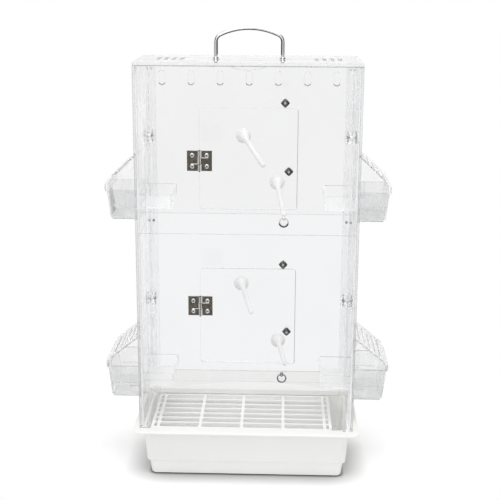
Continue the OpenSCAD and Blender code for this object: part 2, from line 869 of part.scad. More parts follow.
// One leaf, flat on the panel; ends is true for the leaf with the two outer knuckles
module hinge_leaf(level, side, ends) {
    bands = ends ? [-1, 1] : [0];
    bore = pin_d + 2 * (ends ? 0.02 : running);
    color(nickel)
        difference() {
            union() {
                translate([side > 0 ? -pin_x + leaf_back : -pin_x - leaf_w, front_y - leaf_t,
                        hinge_z[level] - hinge_h / 2])
                    cube([leaf_w - leaf_back, leaf_t, hinge_h]);
                for (b = bands) {
                    band_h = knuckle_h - knuckle_gap;
                    band_z = hinge_z[level] + b * (knuckle_h + knuckle_gap / 2) - band_h / 2;
                    translate([-pin_x, pin_y, band_z])
                        cylinder(d = knuckle_d, h = band_h);
                    translate([side > 0 ? -pin_x : -pin_x - leaf_back - skin, front_y - leaf_t, band_z])
                        cube([leaf_back + skin, leaf_t, band_h]);
                }
            }
            translate([-pin_x, pin_y, hinge_z[level] - hinge_h])
                cylinder(d = bore, h = 2 * hinge_h);
            hinge_holes(level, side);
        }
}

module hinge_pin(level) {
    head_d = pin_d + 1.2;
    head_h = 0.9;
    color(nickel)
        translate([-pin_x, pin_y, hinge_z[level]]) {
            cylinder(d = pin_d, h = hinge_h + 2 * loose, center = true);
            for (s = [-1, 1])
                translate([0, 0, s * (hinge_h / 2 + loose + head_h / 2)])
                    cylinder(d = head_d, h = head_h, center = true);
        }
}

module hinge_screws(level, side) {
    color(steel)
        for (s = [-1, 1])
            translate([-pin_x + side * hinge_screw_x, front_y - leaf_t,
                    hinge_z[level] + s * hinge_screw_pitch / 2])
                rotate([90, 0, 0])
                    difference() {
                        union() {
                            rotate_extrude()
                                polygon([[0, 0], [hinge_head_d / 2, 0], [hinge_head_d / 2, 0.5],
                                    [hinge_head_d / 2 - 0.8, 1.1], [hinge_head_d / 2 - 1.7, screw_head_h],
                                    [0, screw_head_h]]);
                            translate([0, 0, -leaf_t - sheet])
                                cylinder(d = screw_shank_d, h = leaf_t + sheet + skin);
                        }
                        translate([-hinge_head_d, -0.4, screw_head_h - 0.6])
                            cube([2 * hinge_head_d, 0.8, past]);
                    }
}

// Domed head for the knobs and buttons, radius r and height h, flat at z = 0
module dome(r, h) {
    edge = h / 3;
    rotate_extrude()
        polygon(concat([[0, 0], [r, 0]],
            [for (k = [0:8]) let (a = k * 11.25) [r * (0.35 + 0.65 * cos(a)), edge + (h - edge) * sin(a)]],
            [[0, h]]));
}

module door_knob(level) {
    color(nickel)
        translate([knob_x, front_y, knob_z[level]])
            rotate([90, 0, 0])
                difference() {
                    union() {
                        translate([0, 0, knob_h / 2]) dome(knob_d / 2, knob_h / 2);
                        cylinder(d = knob_stem_d, h = knob_h / 2 + skin);
                    }
                    translate([0, 0, -past])
                        cylinder(d = knob_screw_d + 2 * running, h = past + knob_screw_in + 0.5);
                }
}

module door_knob_screw(level) {
    color(steel)
        translate([knob_x, front_y + sheet, knob_z[level]])
            rotate([-90, 0, 0]) {
                cylinder(d = knob_screw_head_d, h = knob_screw_head_h);
                translate([0, 0, -sheet - knob_screw_in])
                    cylinder(d = knob_screw_d, h = sheet + knob_screw_in + skin);
            }
}

module turn_button(level) {
    color(nickel)
        translate([button_x, front_y - button_lift, button_z[level]])
            rotate([90, 0, 0])
                difference() {
                    dome(button_d / 2, button_h);
                    translate([0, -button_offset, -past])
                        cylinder(d = pivot_d + 2 * running, h = button_h + 2 * past);
                    translate([0, -button_offset, button_h - pivot_head_h - loose])
                        cylinder(d = pivot_head_d + 4 * loose, h = button_h);
                }
}

button_lift = 0.3;

module button_pivots() {
    shank = button_lift + button_h - pivot_head_h;
    color(steel)
        for (z = button_z)
            translate([button_x, front_y, z - button_offset])
                rotate([90, 0, 0]) {
                    translate([0, 0, -sheet])
                        cylinder(d = pivot_d, h = sheet + shank + skin);
                    translate([0, 0, shank])
                        cylinder(d = pivot_head_d, h = pivot_head_h);
                }
}

module ring_posts() {
    color(steel)
        for (z = ring_z)
            translate([ring_x, front_y, z])
                rotate([90, 0, 0])
                    difference() {
                        union() {
                            translate([0, 0, -sheet]) cylinder(d = screw_shank_d, h = sheet + skin);
                            rotate_extrude()
                                polygon(concat([[0, 0], [ring_post_d / 2, 0]],
                                    [for (k = [0:6]) let (a = k * 15)
                                        [ring_post_d / 2 * cos(a), ring_post_len - 0.8 + 0.8 * sin(a)]]));
                        }
                        translate([0, 0, ring_hole_y])
                            rotate([0, 90, 0])
                                cylinder(r = ring_hole_r, h = 2 * ring_post_d, center = true);
                    }
}

module ring(level) {
    color(steel)
        translate([ring_x, front_y - ring_hole_y, ring_z[level] - ring_r + ring_sag / 2])
            rotate([90, 0, 0])
                rotate_extrude()
                    translate([ring_r, 0]) circle(d = ring_wire);
}

base_tray();
floor_grille();
corner_post(-1, false);  // corner_post_front_left
corner_post(1, false);  // corner_post_front_right
corner_post(-1, true);  // corner_post_back_left
corner_post(1, true);  // corner_post_back_right
top_panel();
front_panel(UPPER);  // front_panel_upper
front_panel(LOWER);  // front_panel_lower
back_panel(UPPER);  // back_panel_upper
back_panel(LOWER);  // back_panel_lower
back_skirt();
side_panel(-1, UPPER);  // side_panel_left_upper
side_panel(-1, LOWER);  // side_panel_left_lower
side_panel(1, UPPER);  // side_panel_right_upper
side_panel(1, LOWER);  // side_panel_right_lower
post_screws();
handle();
handle_screws();
feeder_hood(-1, UPPER);  // feeder_hood_left_upper
feeder_hood(-1, LOWER);  // feeder_hood_left_lower
feeder_hood(1, UPPER);  // feeder_hood_right_upper
feeder_hood(1, LOWER);  // feeder_hood_right_lower
feeder_cup(-1, UPPER);  // feeder_cup_left_upper
feeder_cup(-1, LOWER);  // feeder_cup_left_lower
feeder_cup(1, UPPER);  // feeder_cup_right_upper
feeder_cup(1, LOWER);  // feeder_cup_right_lower
perch(0);  // perch_upper_left
perch(1);  // perch_upper_right
perch(2);  // perch_lower_left
perch(3);  // perch_lower_right
perch_bolts();
side_knob(-1, UPPER);  // side_knob_left_upper
side_knob(-1, LOWER);  // side_knob_left_lower
side_knob(1, UPPER);  // side_knob_right_upper
side_knob(1, LOWER);  // side_knob_right_lower
side_knob_bolts();
door(UPPER);  // door_upper
door(LOWER);  // door_lower
hinge_leaf(UPPER, -1, true);  // hinge_frame_leaf_upper
hinge_leaf(LOWER, -1, true);  // hinge_frame_leaf_lower
hinge_leaf(UPPER, 1, false);  // hinge_door_leaf_upper
hinge_leaf(LOWER, 1, false);  // hinge_door_leaf_lower
hinge_pin(UPPER);  // hinge_pin_upper
hinge_pin(LOWER);  // hinge_pin_lower
union() {  // hinge_frame_screws
    hinge_screws(UPPER, -1);
    hinge_screws(LOWER, -1);
}
hinge_screws(UPPER, 1);  // hinge_door_screws_upper
hinge_screws(LOWER, 1);  // hinge_door_screws_lower
door_knob(UPPER);  // door_knob_upper
door_knob(LOWER);  // door_knob_lower
door_knob_screw(UPPER);  // door_knob_screw_upper
door_knob_screw(LOWER);  // door_knob_screw_lower
turn_button(UPPER);  // turn_button_upper
turn_button(LOWER);  // turn_button_lower
button_pivots();
ring_posts();
ring(UPPER);  // ring_upper
ring(LOWER);  // ring_lower
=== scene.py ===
import json
import math

import bmesh
import bpy
from mathutils import Matrix, Vector

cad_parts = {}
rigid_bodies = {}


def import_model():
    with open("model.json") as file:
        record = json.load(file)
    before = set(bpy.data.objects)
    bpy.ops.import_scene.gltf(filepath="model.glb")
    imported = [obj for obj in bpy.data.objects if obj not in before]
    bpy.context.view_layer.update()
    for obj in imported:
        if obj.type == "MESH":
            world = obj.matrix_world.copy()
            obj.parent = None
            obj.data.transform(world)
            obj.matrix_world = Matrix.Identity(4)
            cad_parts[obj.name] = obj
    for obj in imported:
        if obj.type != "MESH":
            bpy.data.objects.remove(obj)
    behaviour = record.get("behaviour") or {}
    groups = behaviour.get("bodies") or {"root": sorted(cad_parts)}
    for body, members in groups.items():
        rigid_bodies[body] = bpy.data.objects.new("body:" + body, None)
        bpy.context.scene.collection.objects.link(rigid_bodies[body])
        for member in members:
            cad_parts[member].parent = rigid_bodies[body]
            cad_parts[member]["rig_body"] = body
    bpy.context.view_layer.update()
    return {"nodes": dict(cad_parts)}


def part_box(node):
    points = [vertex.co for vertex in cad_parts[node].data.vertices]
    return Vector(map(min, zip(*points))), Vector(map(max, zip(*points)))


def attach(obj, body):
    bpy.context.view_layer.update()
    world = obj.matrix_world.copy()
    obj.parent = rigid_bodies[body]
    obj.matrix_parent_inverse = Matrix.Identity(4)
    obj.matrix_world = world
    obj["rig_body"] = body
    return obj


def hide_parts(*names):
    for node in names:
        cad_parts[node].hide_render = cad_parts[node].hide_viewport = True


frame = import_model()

cadNodes = frame["nodes"]
mm = 0.001
weld = 1e-6  # vertices nearer than this are one
square, slant = 0.9, 0.3  # a face looks along an axis above the first and past it below the second
levels = ("upper", "lower")
sides = ("left", "right")


# Small tools for nodes and meshes

def startMaterial(name):
    material = bpy.data.materials.new(name)
    material.use_nodes = True
    material.node_tree.nodes.clear()
    return material, material.node_tree


def addNode(tree, kind, values=None, **settings):  # values are set on sockets, or linked to them
    node = tree.nodes.new("ShaderNode" + kind)
    for key, value in settings.items():
        setattr(node, key, value)
    for key, value in (values or {}).items():
        if isinstance(value, bpy.types.NodeSocket):
            tree.links.new(value, node.inputs[key])
        else:
            node.inputs[key].default_value = value
    return node


def joined(tree, kind, *values, **settings):  # values go to the sockets in their order
    return addNode(tree, kind, dict(enumerate(values)), **settings).outputs[0]


def mathOf(tree, operation, *values):
    return joined(tree, "Math", *values, operation=operation)


def objectPlace(tree, stretch):  # object coordinates, stretched per axis
    place = addNode(tree, "TexCoord").outputs["Object"]
    return addNode(tree, "Mapping", {"Vector": place, "Scale": stretch}).outputs["Vector"]


def noiseAt(tree, place, scale, detail=3, roughness=0.5, distortion=0):
    return addNode(tree, "TexNoise", {
        "Vector": place, "Scale": scale, "Detail": detail, "Roughness": roughness,
        "Distortion": distortion}).outputs["Fac"]


def rampOf(tree, factor, stops):  # stops are (position, grey or colour)
    ramp = addNode(tree, "ValToRGB", {"Fac": factor})
    while len(ramp.color_ramp.elements) < len(stops):
        ramp.color_ramp.elements.new(0.5)
    for element, (position, value) in zip(ramp.color_ramp.elements, stops):
        element.position = position
        element.color = (*value, 1) if isinstance(value, tuple) else (value, value, value, 1)
    return ramp.outputs["Color"]


def raysOf(tree, *kinds):  # 1 for rays of one of these kinds
    path = addNode(tree, "LightPath")
    found = path.outputs["Is " + kinds[0] + " Ray"]
    for kind in kinds[1:]:
        found = mathOf(tree, "MAXIMUM", found, path.outputs["Is " + kind + " Ray"])
    return found


def sizeAlong(tree, vector, axis):  # a vector's part along an axis, without its sign
    return mathOf(tree, "ABSOLUTE", addNode(tree, "SeparateXYZ", {"Vector": vector}).outputs[axis])


def bumpOf(tree, height, strength, distance):
    values = {"Strength": strength, "Distance": distance, "Height": height}
    return addNode(tree, "Bump", values).outputs["Normal"]


def finishMesh(bm, name, smoothBelow=None):  # smoothBelow in degrees, flat if None
    bmesh.ops.recalc_face_normals(bm, faces=bm.faces)
    mesh = bpy.data.meshes.new(name)
    bm.to_mesh(mesh)
    bm.free()
    if smoothBelow is not None:
        mesh.shade_smooth()
        mesh.set_sharp_from_angle(angle=math.radians(smoothBelow))
    return mesh


def addObject(name, data):
    thing = bpy.data.objects.new(name, data)
    bpy.context.scene.collection.objects.link(thing)
    return thing


def addPiece(name, mesh, material, standsFor):
    piece = addObject(name, mesh)
    mesh.materials.append(material)
    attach(piece, cadNodes[standsFor]["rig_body"])
    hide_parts(standsFor)
    return piece


def addMade(bm, name, node, finish, smoothBelow):  # a piece with a shape of its own
    return addPiece(name, finishMesh(bm, name, smoothBelow), finishes[finish], node)


soften = {"flat": math.radians(0.5), "sharp": math.radians(32)}  # faces made one below, edges beveled above


def softenedCopy(node, material, width, segments=2, smoothBelow=None, inset=0):
    bm = bmesh.new()
    bm.from_mesh(cadNodes[node].data)
    bmesh.ops.remove_doubles(bm, verts=bm.verts, dist=weld)
    if inset > 0:  # keeps a sliver of air between clear pieces that touch
        bm.normal_update()
        for vert, step in [(vert, vert.normal * inset * vert.calc_shell_factor()) for vert in bm.verts]:
            vert.co -= step
    bmesh.ops.dissolve_limit(bm, angle_limit=soften["flat"], verts=bm.verts, edges=bm.edges)
    mesh = finishMesh(bm, node + "_softened", smoothBelow)
    piece = addPiece(node + "_softened", mesh, material, node)
    bevel = piece.modifiers.new("edge", "BEVEL")
    bevel.width = width
    bevel.segments = segments
    bevel.limit_method = "ANGLE"
    bevel.angle_limit = soften["sharp"]
    bevel.use_clamp_overlap = True
    return piece


def finishFaces(piece, finish, chosen):  # gives the chosen faces of a piece their own finish
    mesh = piece.data
    index = len(mesh.materials)
    mesh.materials.append(finishes[finish])
    for polygon in mesh.polygons:
        if chosen(polygon.normal, polygon.center):
            polygon.material_index = index


def across(axis, *places):  # planes across an axis
    unit = Vector([float(name == axis) for name in "XYZ"])
    return [(unit * place, unit) for place in places]


def cutFaces(piece, planes):  # cuts a piece's faces along planes, given as (place, normal)
    bm = bmesh.new()
    bm.from_mesh(piece.data)
    for place, normal in planes:
        bmesh.ops.bisect_plane(bm, geom=[*bm.verts, *bm.edges, *bm.faces], plane_co=place, plane_no=normal)
    bm.to_mesh(piece.data)
    bm.free()


def bridgeRings(bm, first, second):
    count = len(first)
    for i in range(count):
        bm.faces.new((first[i], first[(i + 1) % count], second[(i + 1) % count], second[i]))


def loftRings(bm, rings, closeStart=True, closeEnd=True):
    made = [[bm.verts.new(point) for point in ring] for ring in rings]
    for first, second in zip(made, made[1:]):
        bridgeRings(bm, first, second)
    if closeStart:
        bm.faces.new(list(reversed(made[0])))
    if closeEnd:
        bm.faces.new(made[-1])
    return made


def loftLoop(bm, rings):  # the last ring joins the first
    made = loftRings(bm, rings, False, False)
    bridgeRings(bm, made[-1], made[0])


def angles(steps):  # evenly round a circle
    return [2 * math.pi * i / steps for i in range(steps)]


def latheRings(profile, steps, frameMatrix):  # profile is (radius, height along the local Z)
    return [[frameMatrix @ Vector((r * math.cos(a), r * math.sin(a), h)) for a in angles(steps)]
            for r, h in profile]


def axisFrame(place, direction, roll=0):  # local Z along direction
    turn = Vector(direction).normalized().to_track_quat("Z", "Y").to_matrix().to_4x4()
    return Matrix.Translation(place) @ turn @ Matrix.Rotation(roll, 4, "Z")


def roundCorners(points, steps=4):  # points are (x, z, radius), returns (x, z) with arcs at the corners
    path = []
    for i, (x, z, radius) in enumerate(points):
        here = Vector((x, z))
        if radius == 0 or i in (0, len(points) - 1):
            path.append(here)
            continue
        back = (Vector(points[i - 1][:2]) - here).normalized()
        ahead = (Vector(points[i + 1][:2]) - here).normalized()
        half = back.angle(ahead) / 2
        reach = radius / math.tan(half)
        centre = here + (back + ahead).normalized() * (radius / math.sin(half))
        start, end = here + back * reach - centre, here + ahead * reach - centre
        sweep = start.angle_signed(end)
        for k in range(steps + 1):
            path.append(centre + Matrix.Rotation(-sweep * k / steps, 2) @ start)
    return path


# Finishes

perMetre = 4  # positions on a ramp for a metre


def clearAcrylic(name, look):
    material, tree = startMaterial(name)
    place = objectPlace(tree, look["stretch"])
    streaks = noiseAt(tree, place, look["streakScale"], *look["streakGrain"], look["streakTwist"])
    tint = rampOf(tree, streaks, look["tints"])
    hazeShare = rampOf(tree, streaks, look["haze"])
    if "outside" in look:  # full strength outside the walls, nearly clear inside
        away = sizeAlong(tree, addNode(tree, "TexCoord").outputs["Object"], "X")
        outside = rampOf(tree, mathOf(tree, "MULTIPLY", away, perMetre), (
            (look["outside"][0] * perMetre, 0), (look["outside"][1] * perMetre, 1)))
        tint = addNode(tree, "Mix", {"Factor": outside, "A": (*look["insideTint"], 1), "B": tint},
                       data_type="RGBA").outputs["Result"]
        hazeShare = mathOf(tree, "MULTIPLY", hazeShare, outside)
    fine = noiseAt(tree, objectPlace(tree, (1, 1, 1)), look["fineScale"], 3)
    rough = rampOf(tree, fine, list(zip(look["roughStops"], look["rough"])))
    shell = addNode(tree, "BsdfPrincipled", {
        "Transmission Weight": 1, "IOR": look["ior"], "Base Color": tint, "Roughness": rough,
        "Normal": bumpOf(tree, streaks, look["ripple"], look["rippleDepth"])})
    # Milky haze in the streaks and on the cut edges of the sheets
    haze = addNode(tree, "BsdfDiffuse", {"Color": (*look["hazeColour"], 1)})
    if "thin" in look:
        along = sizeAlong(tree, addNode(tree, "TexCoord").outputs["Normal"], look["thin"])
        edge = rampOf(tree, along, list(zip(look["edgeStops"], look["edgeHaze"])))
        hazeShare = mathOf(tree, "MAXIMUM", hazeShare, edge)
    body = joined(tree, "MixShader", hazeShare, shell.outputs[0], haze.outputs[0])
    # Lamp light and soft light pass straight through, so that what is inside is lit
    through = addNode(tree, "BsdfTransparent", {"Color": (*look["lets"], 1)})
    surface = joined(tree, "MixShader", raysOf(tree, "Shadow", "Diffuse"), body, through.outputs[0])
    addNode(tree, "OutputMaterial", {"Surface": surface})
    return material


frontLook = {
    "ior": 1.49,
    "stretch": (1, 1, 1),
    "streakScale": 6,
    "streakGrain": (4, 0.6),  # detail and roughness
    "streakTwist": 0,
    "tints": ((0.3, (0.985, 0.987, 0.99)), (0.7, (0.995, 0.996, 0.998))),
    "fineScale": 90,
    "roughStops": (0.35, 0.75),
    "rough": (0, 0.02),  # at those stops
    "ripple": 0.05,
    "rippleDepth": 0.0003,
    "hazeColour": (0.93, 0.935, 0.94),
    "haze": ((0.5, 0), (1, 0.02)),
    "edgeStops": (0.3, 0.8),
    "edgeHaze": (0.5, 0),
    "lets": (0.985, 0.985, 0.985),  # colour of the lamp light that comes through
}
upperBackLook = dict(frontLook, ior=1.25, tints=((0.3, (0.865, 0.865, 0.867)), (0.7, (0.895, 0.895, 0.897))))
lowerBackLook = dict(frontLook, ior=1.25, tints=((0.3, (0.89, 0.893, 0.9)), (0.7, (0.91, 0.913, 0.921))))
skirtLook = dict(frontLook, tints=((0.3, (0.83, 0.83, 0.822)), (0.7, (0.87, 0.87, 0.862))))
topLook = dict(
    frontLook, stretch=(1, 2.5, 1), streakScale=22, streakTwist=0.8,
    tints=((0.35, (0.9, 0.9, 0.9)), (0.6, (0.96, 0.96, 0.96))), haze=((0.55, 0), (0.68, 0.3)),
    hazeColour=(0.62, 0.62, 0.62))
wallLook = dict(
    frontLook, stretch=(1, 1, 0.1), streakScale=45, streakTwist=0.7,
    tints=((0.3, (0.985, 0.986, 0.988)), (0.46, (0.975, 0.976, 0.978)), (0.5, (0.89, 0.892, 0.896)),
           (0.54, (0.98, 0.981, 0.983)), (0.7, (0.99, 0.991, 0.993))),
    ripple=0.2, rippleDepth=0.0002, haze=((0.6, 0), (0.72, 0.12)))
angleLook = dict(
    wallLook, stretch=(1, 1, 0.06), streakScale=110, streakTwist=0.5,
    tints=((0.3, (0.985, 0.986, 0.988)), (0.46, (0.97, 0.971, 0.974)), (0.5, (0.86, 0.863, 0.87)),
           (0.54, (0.975, 0.976, 0.979)), (0.7, (0.99, 0.991, 0.993))),
    rippleDepth=0.0001, haze=((0.55, 0), (0.62, 0.35), (0.7, 0.06)))
angleSideLook = dict(
    angleLook, tints=((0.3, (0.87, 0.87, 0.872)), (0.5, (0.8, 0.8, 0.804)), (0.7, (0.9, 0.9, 0.902))),
    haze=((0.6, 0), (0.7, 0.2)))
angleSideLowLook = dict(
    angleSideLook,
    tints=((0.3, (0.81, 0.81, 0.812)), (0.5, (0.74, 0.74, 0.744)), (0.7, (0.86, 0.86, 0.862))))
hoodLook = dict(
    frontLook, stretch=(1, 1, 0.45), streakScale=55, streakTwist=1.2,
    tints=((0.3, (0.945, 0.946, 0.948)), (0.65, (0.968, 0.969, 0.971))), rough=(0.01, 0.05),
    ripple=0.12, rippleDepth=0.0002, haze=((0.5, 0), (0.66, 0.1), (0.8, 0.03)))
slopeLook = dict(
    hoodLook, rough=(0.14, 0.32), ripple=0, haze=((0.3, 0.25), (0.6, 0.4)),
    hazeColour=(0.84, 0.84, 0.84))
upperSlopeLook = dict(slopeLook, ior=1.2, haze=((0.3, 0.46), (0.6, 0.58)), hazeColour=(0.78, 0.78, 0.78))
cupLook = dict(
    hoodLook, tints=((0.3, (0.79, 0.792, 0.796)), (0.65, (0.88, 0.882, 0.886))), outside=(0.147, 0.15),
    insideTint=(0.985, 0.986, 0.988))
cupWallLook = dict(hoodLook, ior=1.3, haze=((0.3, 0.08), (0.6, 0.14)), hazeColour=(0.7, 0.7, 0.7))
lowerCupLook = dict(cupLook, tints=((0.3, (0.83, 0.832, 0.836)), (0.65, (0.91, 0.912, 0.916))))


def solidSurface(name, look):  # plastic, plated metal and frosted cuts
    material, tree = startMaterial(name)
    tone = noiseAt(tree, objectPlace(tree, (1, 1, 1)), *look["tone"])
    grain = noiseAt(tree, objectPlace(tree, look["grainStretch"]), *look["grain"])
    colour = rampOf(tree, tone, list(zip(look["toneStops"], look["colours"])))
    rough = rampOf(tree, grain, list(zip(look["grainStops"], look["rough"])))
    values = {"Base Color": colour, "Roughness": rough, "Normal": bumpOf(tree, grain, *look["bump"])}
    shell = addNode(tree, "BsdfPrincipled", values | look["values"])
    addNode(tree, "OutputMaterial", {"Surface": shell.outputs[0]})
    return material


edgeLook = {
    "values": {"IOR": 1.49, "Transmission Weight": 0.5},
    "colours": ((0.36, 0.365, 0.37), (0.62, 0.625, 0.63)),
    "tone": (420, 3, 0.6),  # scale, detail and roughness of the colour's pattern
    "toneStops": (0.35, 0.65),
    "rough": (0.25, 0.5),
    "grainStretch": (1, 1, 1),
    "grain": (420, 3, 0.6),  # the same for the gloss and the bumps
    "grainStops": (0.3, 0.7),
    "bump": (0.2, 0.0001),
}
paleEdgeLook = dict(edgeLook, colours=((0.66, 0.665, 0.67), (0.85, 0.853, 0.857)))
routedLook = dict(
    edgeLook, values={"IOR": 1.49, "Transmission Weight": 0.3},
    colours=((0.2, 0.2, 0.2), (0.38, 0.38, 0.38)))
slopeEndLook = dict(edgeLook, colours=((0.74, 0.742, 0.745), (0.86, 0.862, 0.865)))
# frosted white, used on frosted cuts and as a painted highlight on the feeder arms and the top sheet's front
# edge
frostAndHighlightLook = dict(
    edgeLook, values={"IOR": 1.49, "Transmission Weight": 0.35},
    colours=((0.9, 0.902, 0.905), (0.97, 0.972, 0.975)))
trayLook = dict(
    edgeLook, values={"IOR": 1.5}, colours=((0.87, 0.87, 0.85), (0.9, 0.9, 0.885)), tone=(9, 4, 0.55),
    toneStops=(0.3, 0.7), rough=(0.3, 0.42), grain=(900, 2, 0.6), bump=(0.12, 0.0002))
# darker copy of the tray plastic for the outer walls, painted shade; lighter copy for the inside, painted
# light
trayWallLook = dict(trayLook, colours=((0.83, 0.83, 0.81), (0.86, 0.86, 0.845)))
trayInsideLook = dict(trayLook, colours=((0.94, 0.94, 0.92), (0.97, 0.97, 0.955)))
grilleLook = dict(trayLook, colours=((0.9, 0.9, 0.89), (0.93, 0.93, 0.925)))
perchLook = dict(
    trayLook, colours=((0.78, 0.78, 0.77), (0.83, 0.83, 0.825)), tone=(30, 4, 0.55), rough=(0.2, 0.3),
    grain=(1200, 2, 0.6), bump=(0.06, 0.0002))
handleLook = dict(
    edgeLook, values={"Metallic": 1}, colours=((0.8, 0.8, 0.81), (0.86, 0.86, 0.87)), tone=(60, 3, 0.5),
    toneStops=(0.3, 0.7), rough=(0.05, 0.12), grainStretch=(1, 1, 0.2), grain=(900, 4, 0.65),
    grainStops=(0.3, 0.75), bump=(0.05, 0.0001))
# Painted reflections on the chrome handle: dark on its inner side, grey down the outer sides of its legs
handlePaintedDarkReflectionLook = dict(handleLook, colours=((0.08, 0.08, 0.082), (0.11, 0.11, 0.113)))
handlePaintedGreyReflectionLook = dict(handleLook, colours=((0.4, 0.4, 0.404), (0.46, 0.46, 0.465)))
nickelLook = dict(
    handleLook, colours=((0.075, 0.068, 0.058), (0.15, 0.136, 0.118)), tone=(260, 3, 0.5),
    rough=(0.22, 0.4), grainStretch=(1, 1, 0.3), grain=(1500, 4, 0.65), bump=(0.25, 0.0001))
capLook = dict(nickelLook, colours=((0.09, 0.088, 0.085), (0.2, 0.195, 0.19)), rough=(0.3, 0.5))
# bright polished nickel, used as a painted highlight line on the hinge leaves
paintedKnuckleHighlightLook = dict(nickelLook, colours=((0.75, 0.74, 0.71), (0.93, 0.92, 0.89)), rough=(0.08, 0.2))
# pale nickel, used as a painted highlight on knuckle flanks, upper screws and the upper ring and its post
paintedHighlightLook = dict(
    paintedKnuckleHighlightLook, values={"Metallic": 0.25}, colours=((0.62, 0.61, 0.58), (0.85, 0.84, 0.81)))
# paler nickel, used as a painted highlight in the middle of caps, pivots and ring posts
capPaintedHighlightLook = dict(capLook, colours=((0.38, 0.38, 0.38), (0.55, 0.55, 0.55)))
steelLook = dict(handleLook, colours=((0.72, 0.72, 0.71), (0.86, 0.86, 0.85)), rough=(0.36, 0.5))
boltLook = dict(steelLook, colours=((0.22, 0.22, 0.22), (0.36, 0.36, 0.36)), rough=(0.2, 0.34))

finishes = {finish: clearAcrylic(*made) for finish, made in dict(  # name of the material and its look
    frontSheet=("frontSheet", dict(frontLook, thin="Y")),
    upperBack=("upperBackSheet", dict(upperBackLook, thin="Y")),
    lowerBack=("lowerBackSheet", dict(lowerBackLook, thin="Y")),
    skirt=("skirtSheet", dict(skirtLook, thin="Y")),
    topSheet=("topSheet", dict(topLook, thin="Z")),
    sideSheet=("sideSheet", dict(wallLook, thin="X")),
    lowerSlope=("clearAcrylicSlope", slopeLook),
    upperSlope=("clearAcrylicUpperSlope", upperSlopeLook),
    cupWall=("clearAcrylicCupWall", cupWallLook),
    angleSide=("clearAcrylicAngleSide", angleSideLook),
    angleSideLow=("clearAcrylicAngleSideLow", angleSideLowLook),
    cornerAngle=("cornerAngle", angleLook),
    hood=("hoodMoulding", hoodLook),
    upperCup=("clearAcrylicCup", cupLook),
    lowerCup=("clearAcrylicLowerCup", lowerCupLook),
).items()}
finishes.update({finish: solidSurface(*made) for finish, made in dict(
    slopeEnd=("slopeEnd", slopeEndLook),
    sawnEdge=("sawnEdge", edgeLook),
    paleEdge=("paleEdge", paleEdgeLook),
    routedEdge=("routedEdge", routedLook),
    frostAndHighlight=("frostAndHighlightedEdge", frostAndHighlightLook),
    tray=("trayPlastic", trayLook),
    trayWall=("trayWallPlastic", trayWallLook),
    trayInside=("trayInsidePlastic", trayInsideLook),
    grille=("grillePlastic", grilleLook),
    perch=("perchPlastic", perchLook),
    handle=("chromedRod", handleLook),
    handlePaintedDarkReflection=("handlePaintedDarkReflection", handlePaintedDarkReflectionLook),
    handlePaintedGreyReflection=("handlePaintedGreyReflection", handlePaintedGreyReflectionLook),
    nickel=("darkNickel", nickelLook),
    steel=("screwSteel", steelLook),
    bolt=("boltSteel", boltLook),
    cap=("capNickel", capLook),
    capPaintedHighlight=("capPaintedHighlightNickel", capPaintedHighlightLook),
    paintedKnuckleHighlight=("paintedKnuckleHighlightNickel", paintedKnuckleHighlightLook),
    paintedHighlight=("paintedHighlightNickel", paintedHighlightLook),
).items()})
print("finishes made:", len(finishes))


# Litter tray

tray = {
    "mouthHalf": 144.7 * mm,  # half the tray's width where the flange begins
    "floorRun": 40 * mm,  # the floor's flat middle begins this far inside the foot
    "flangeRun": 16.5 * mm,  # how far the flange stands out at front and back
    "flangeThick": 3 * mm,
    "wall": 2.5 * mm,
    "lean": 3.5 * mm,
    "step": (22 * mm, 3 * mm),  # height and width
    "footLean": 3 * mm,
    "floor": 3 * mm,
    "cornerRadius": 9 * mm,
    "cornerShrink": 0.25,  # how much of an inset comes off a corner's radius
    "cornerLeast": 2 * mm,
    "edgeRadius": 1.2 * mm,
    "cornerSteps": 8,
    "ledge": (8 * mm, 3 * mm),  # width and thickness of the ledges under the grille
    "smooth": 40,
}


def trayRing(outset, z, topHalf, flangeShare):
    halfX = topHalf.x + (outset * flangeShare if outset > 0 else outset)
    halfY = topHalf.y + outset
    radius = max(tray["cornerRadius"] + min(outset, 0) * tray["cornerShrink"], tray["cornerLeast"])
    ring = []
    for corner, (sx, sy) in enumerate(((1, 1), (-1, 1), (-1, -1), (1, -1))):
        for k in range(tray["cornerSteps"] + 1):
            a = math.radians(90 * (corner + k / tray["cornerSteps"]))
            ring.append(Vector((sx * (halfX - radius) + radius * math.cos(a),
                                sy * (halfY - radius) + radius * math.sin(a), z)))
    return ring


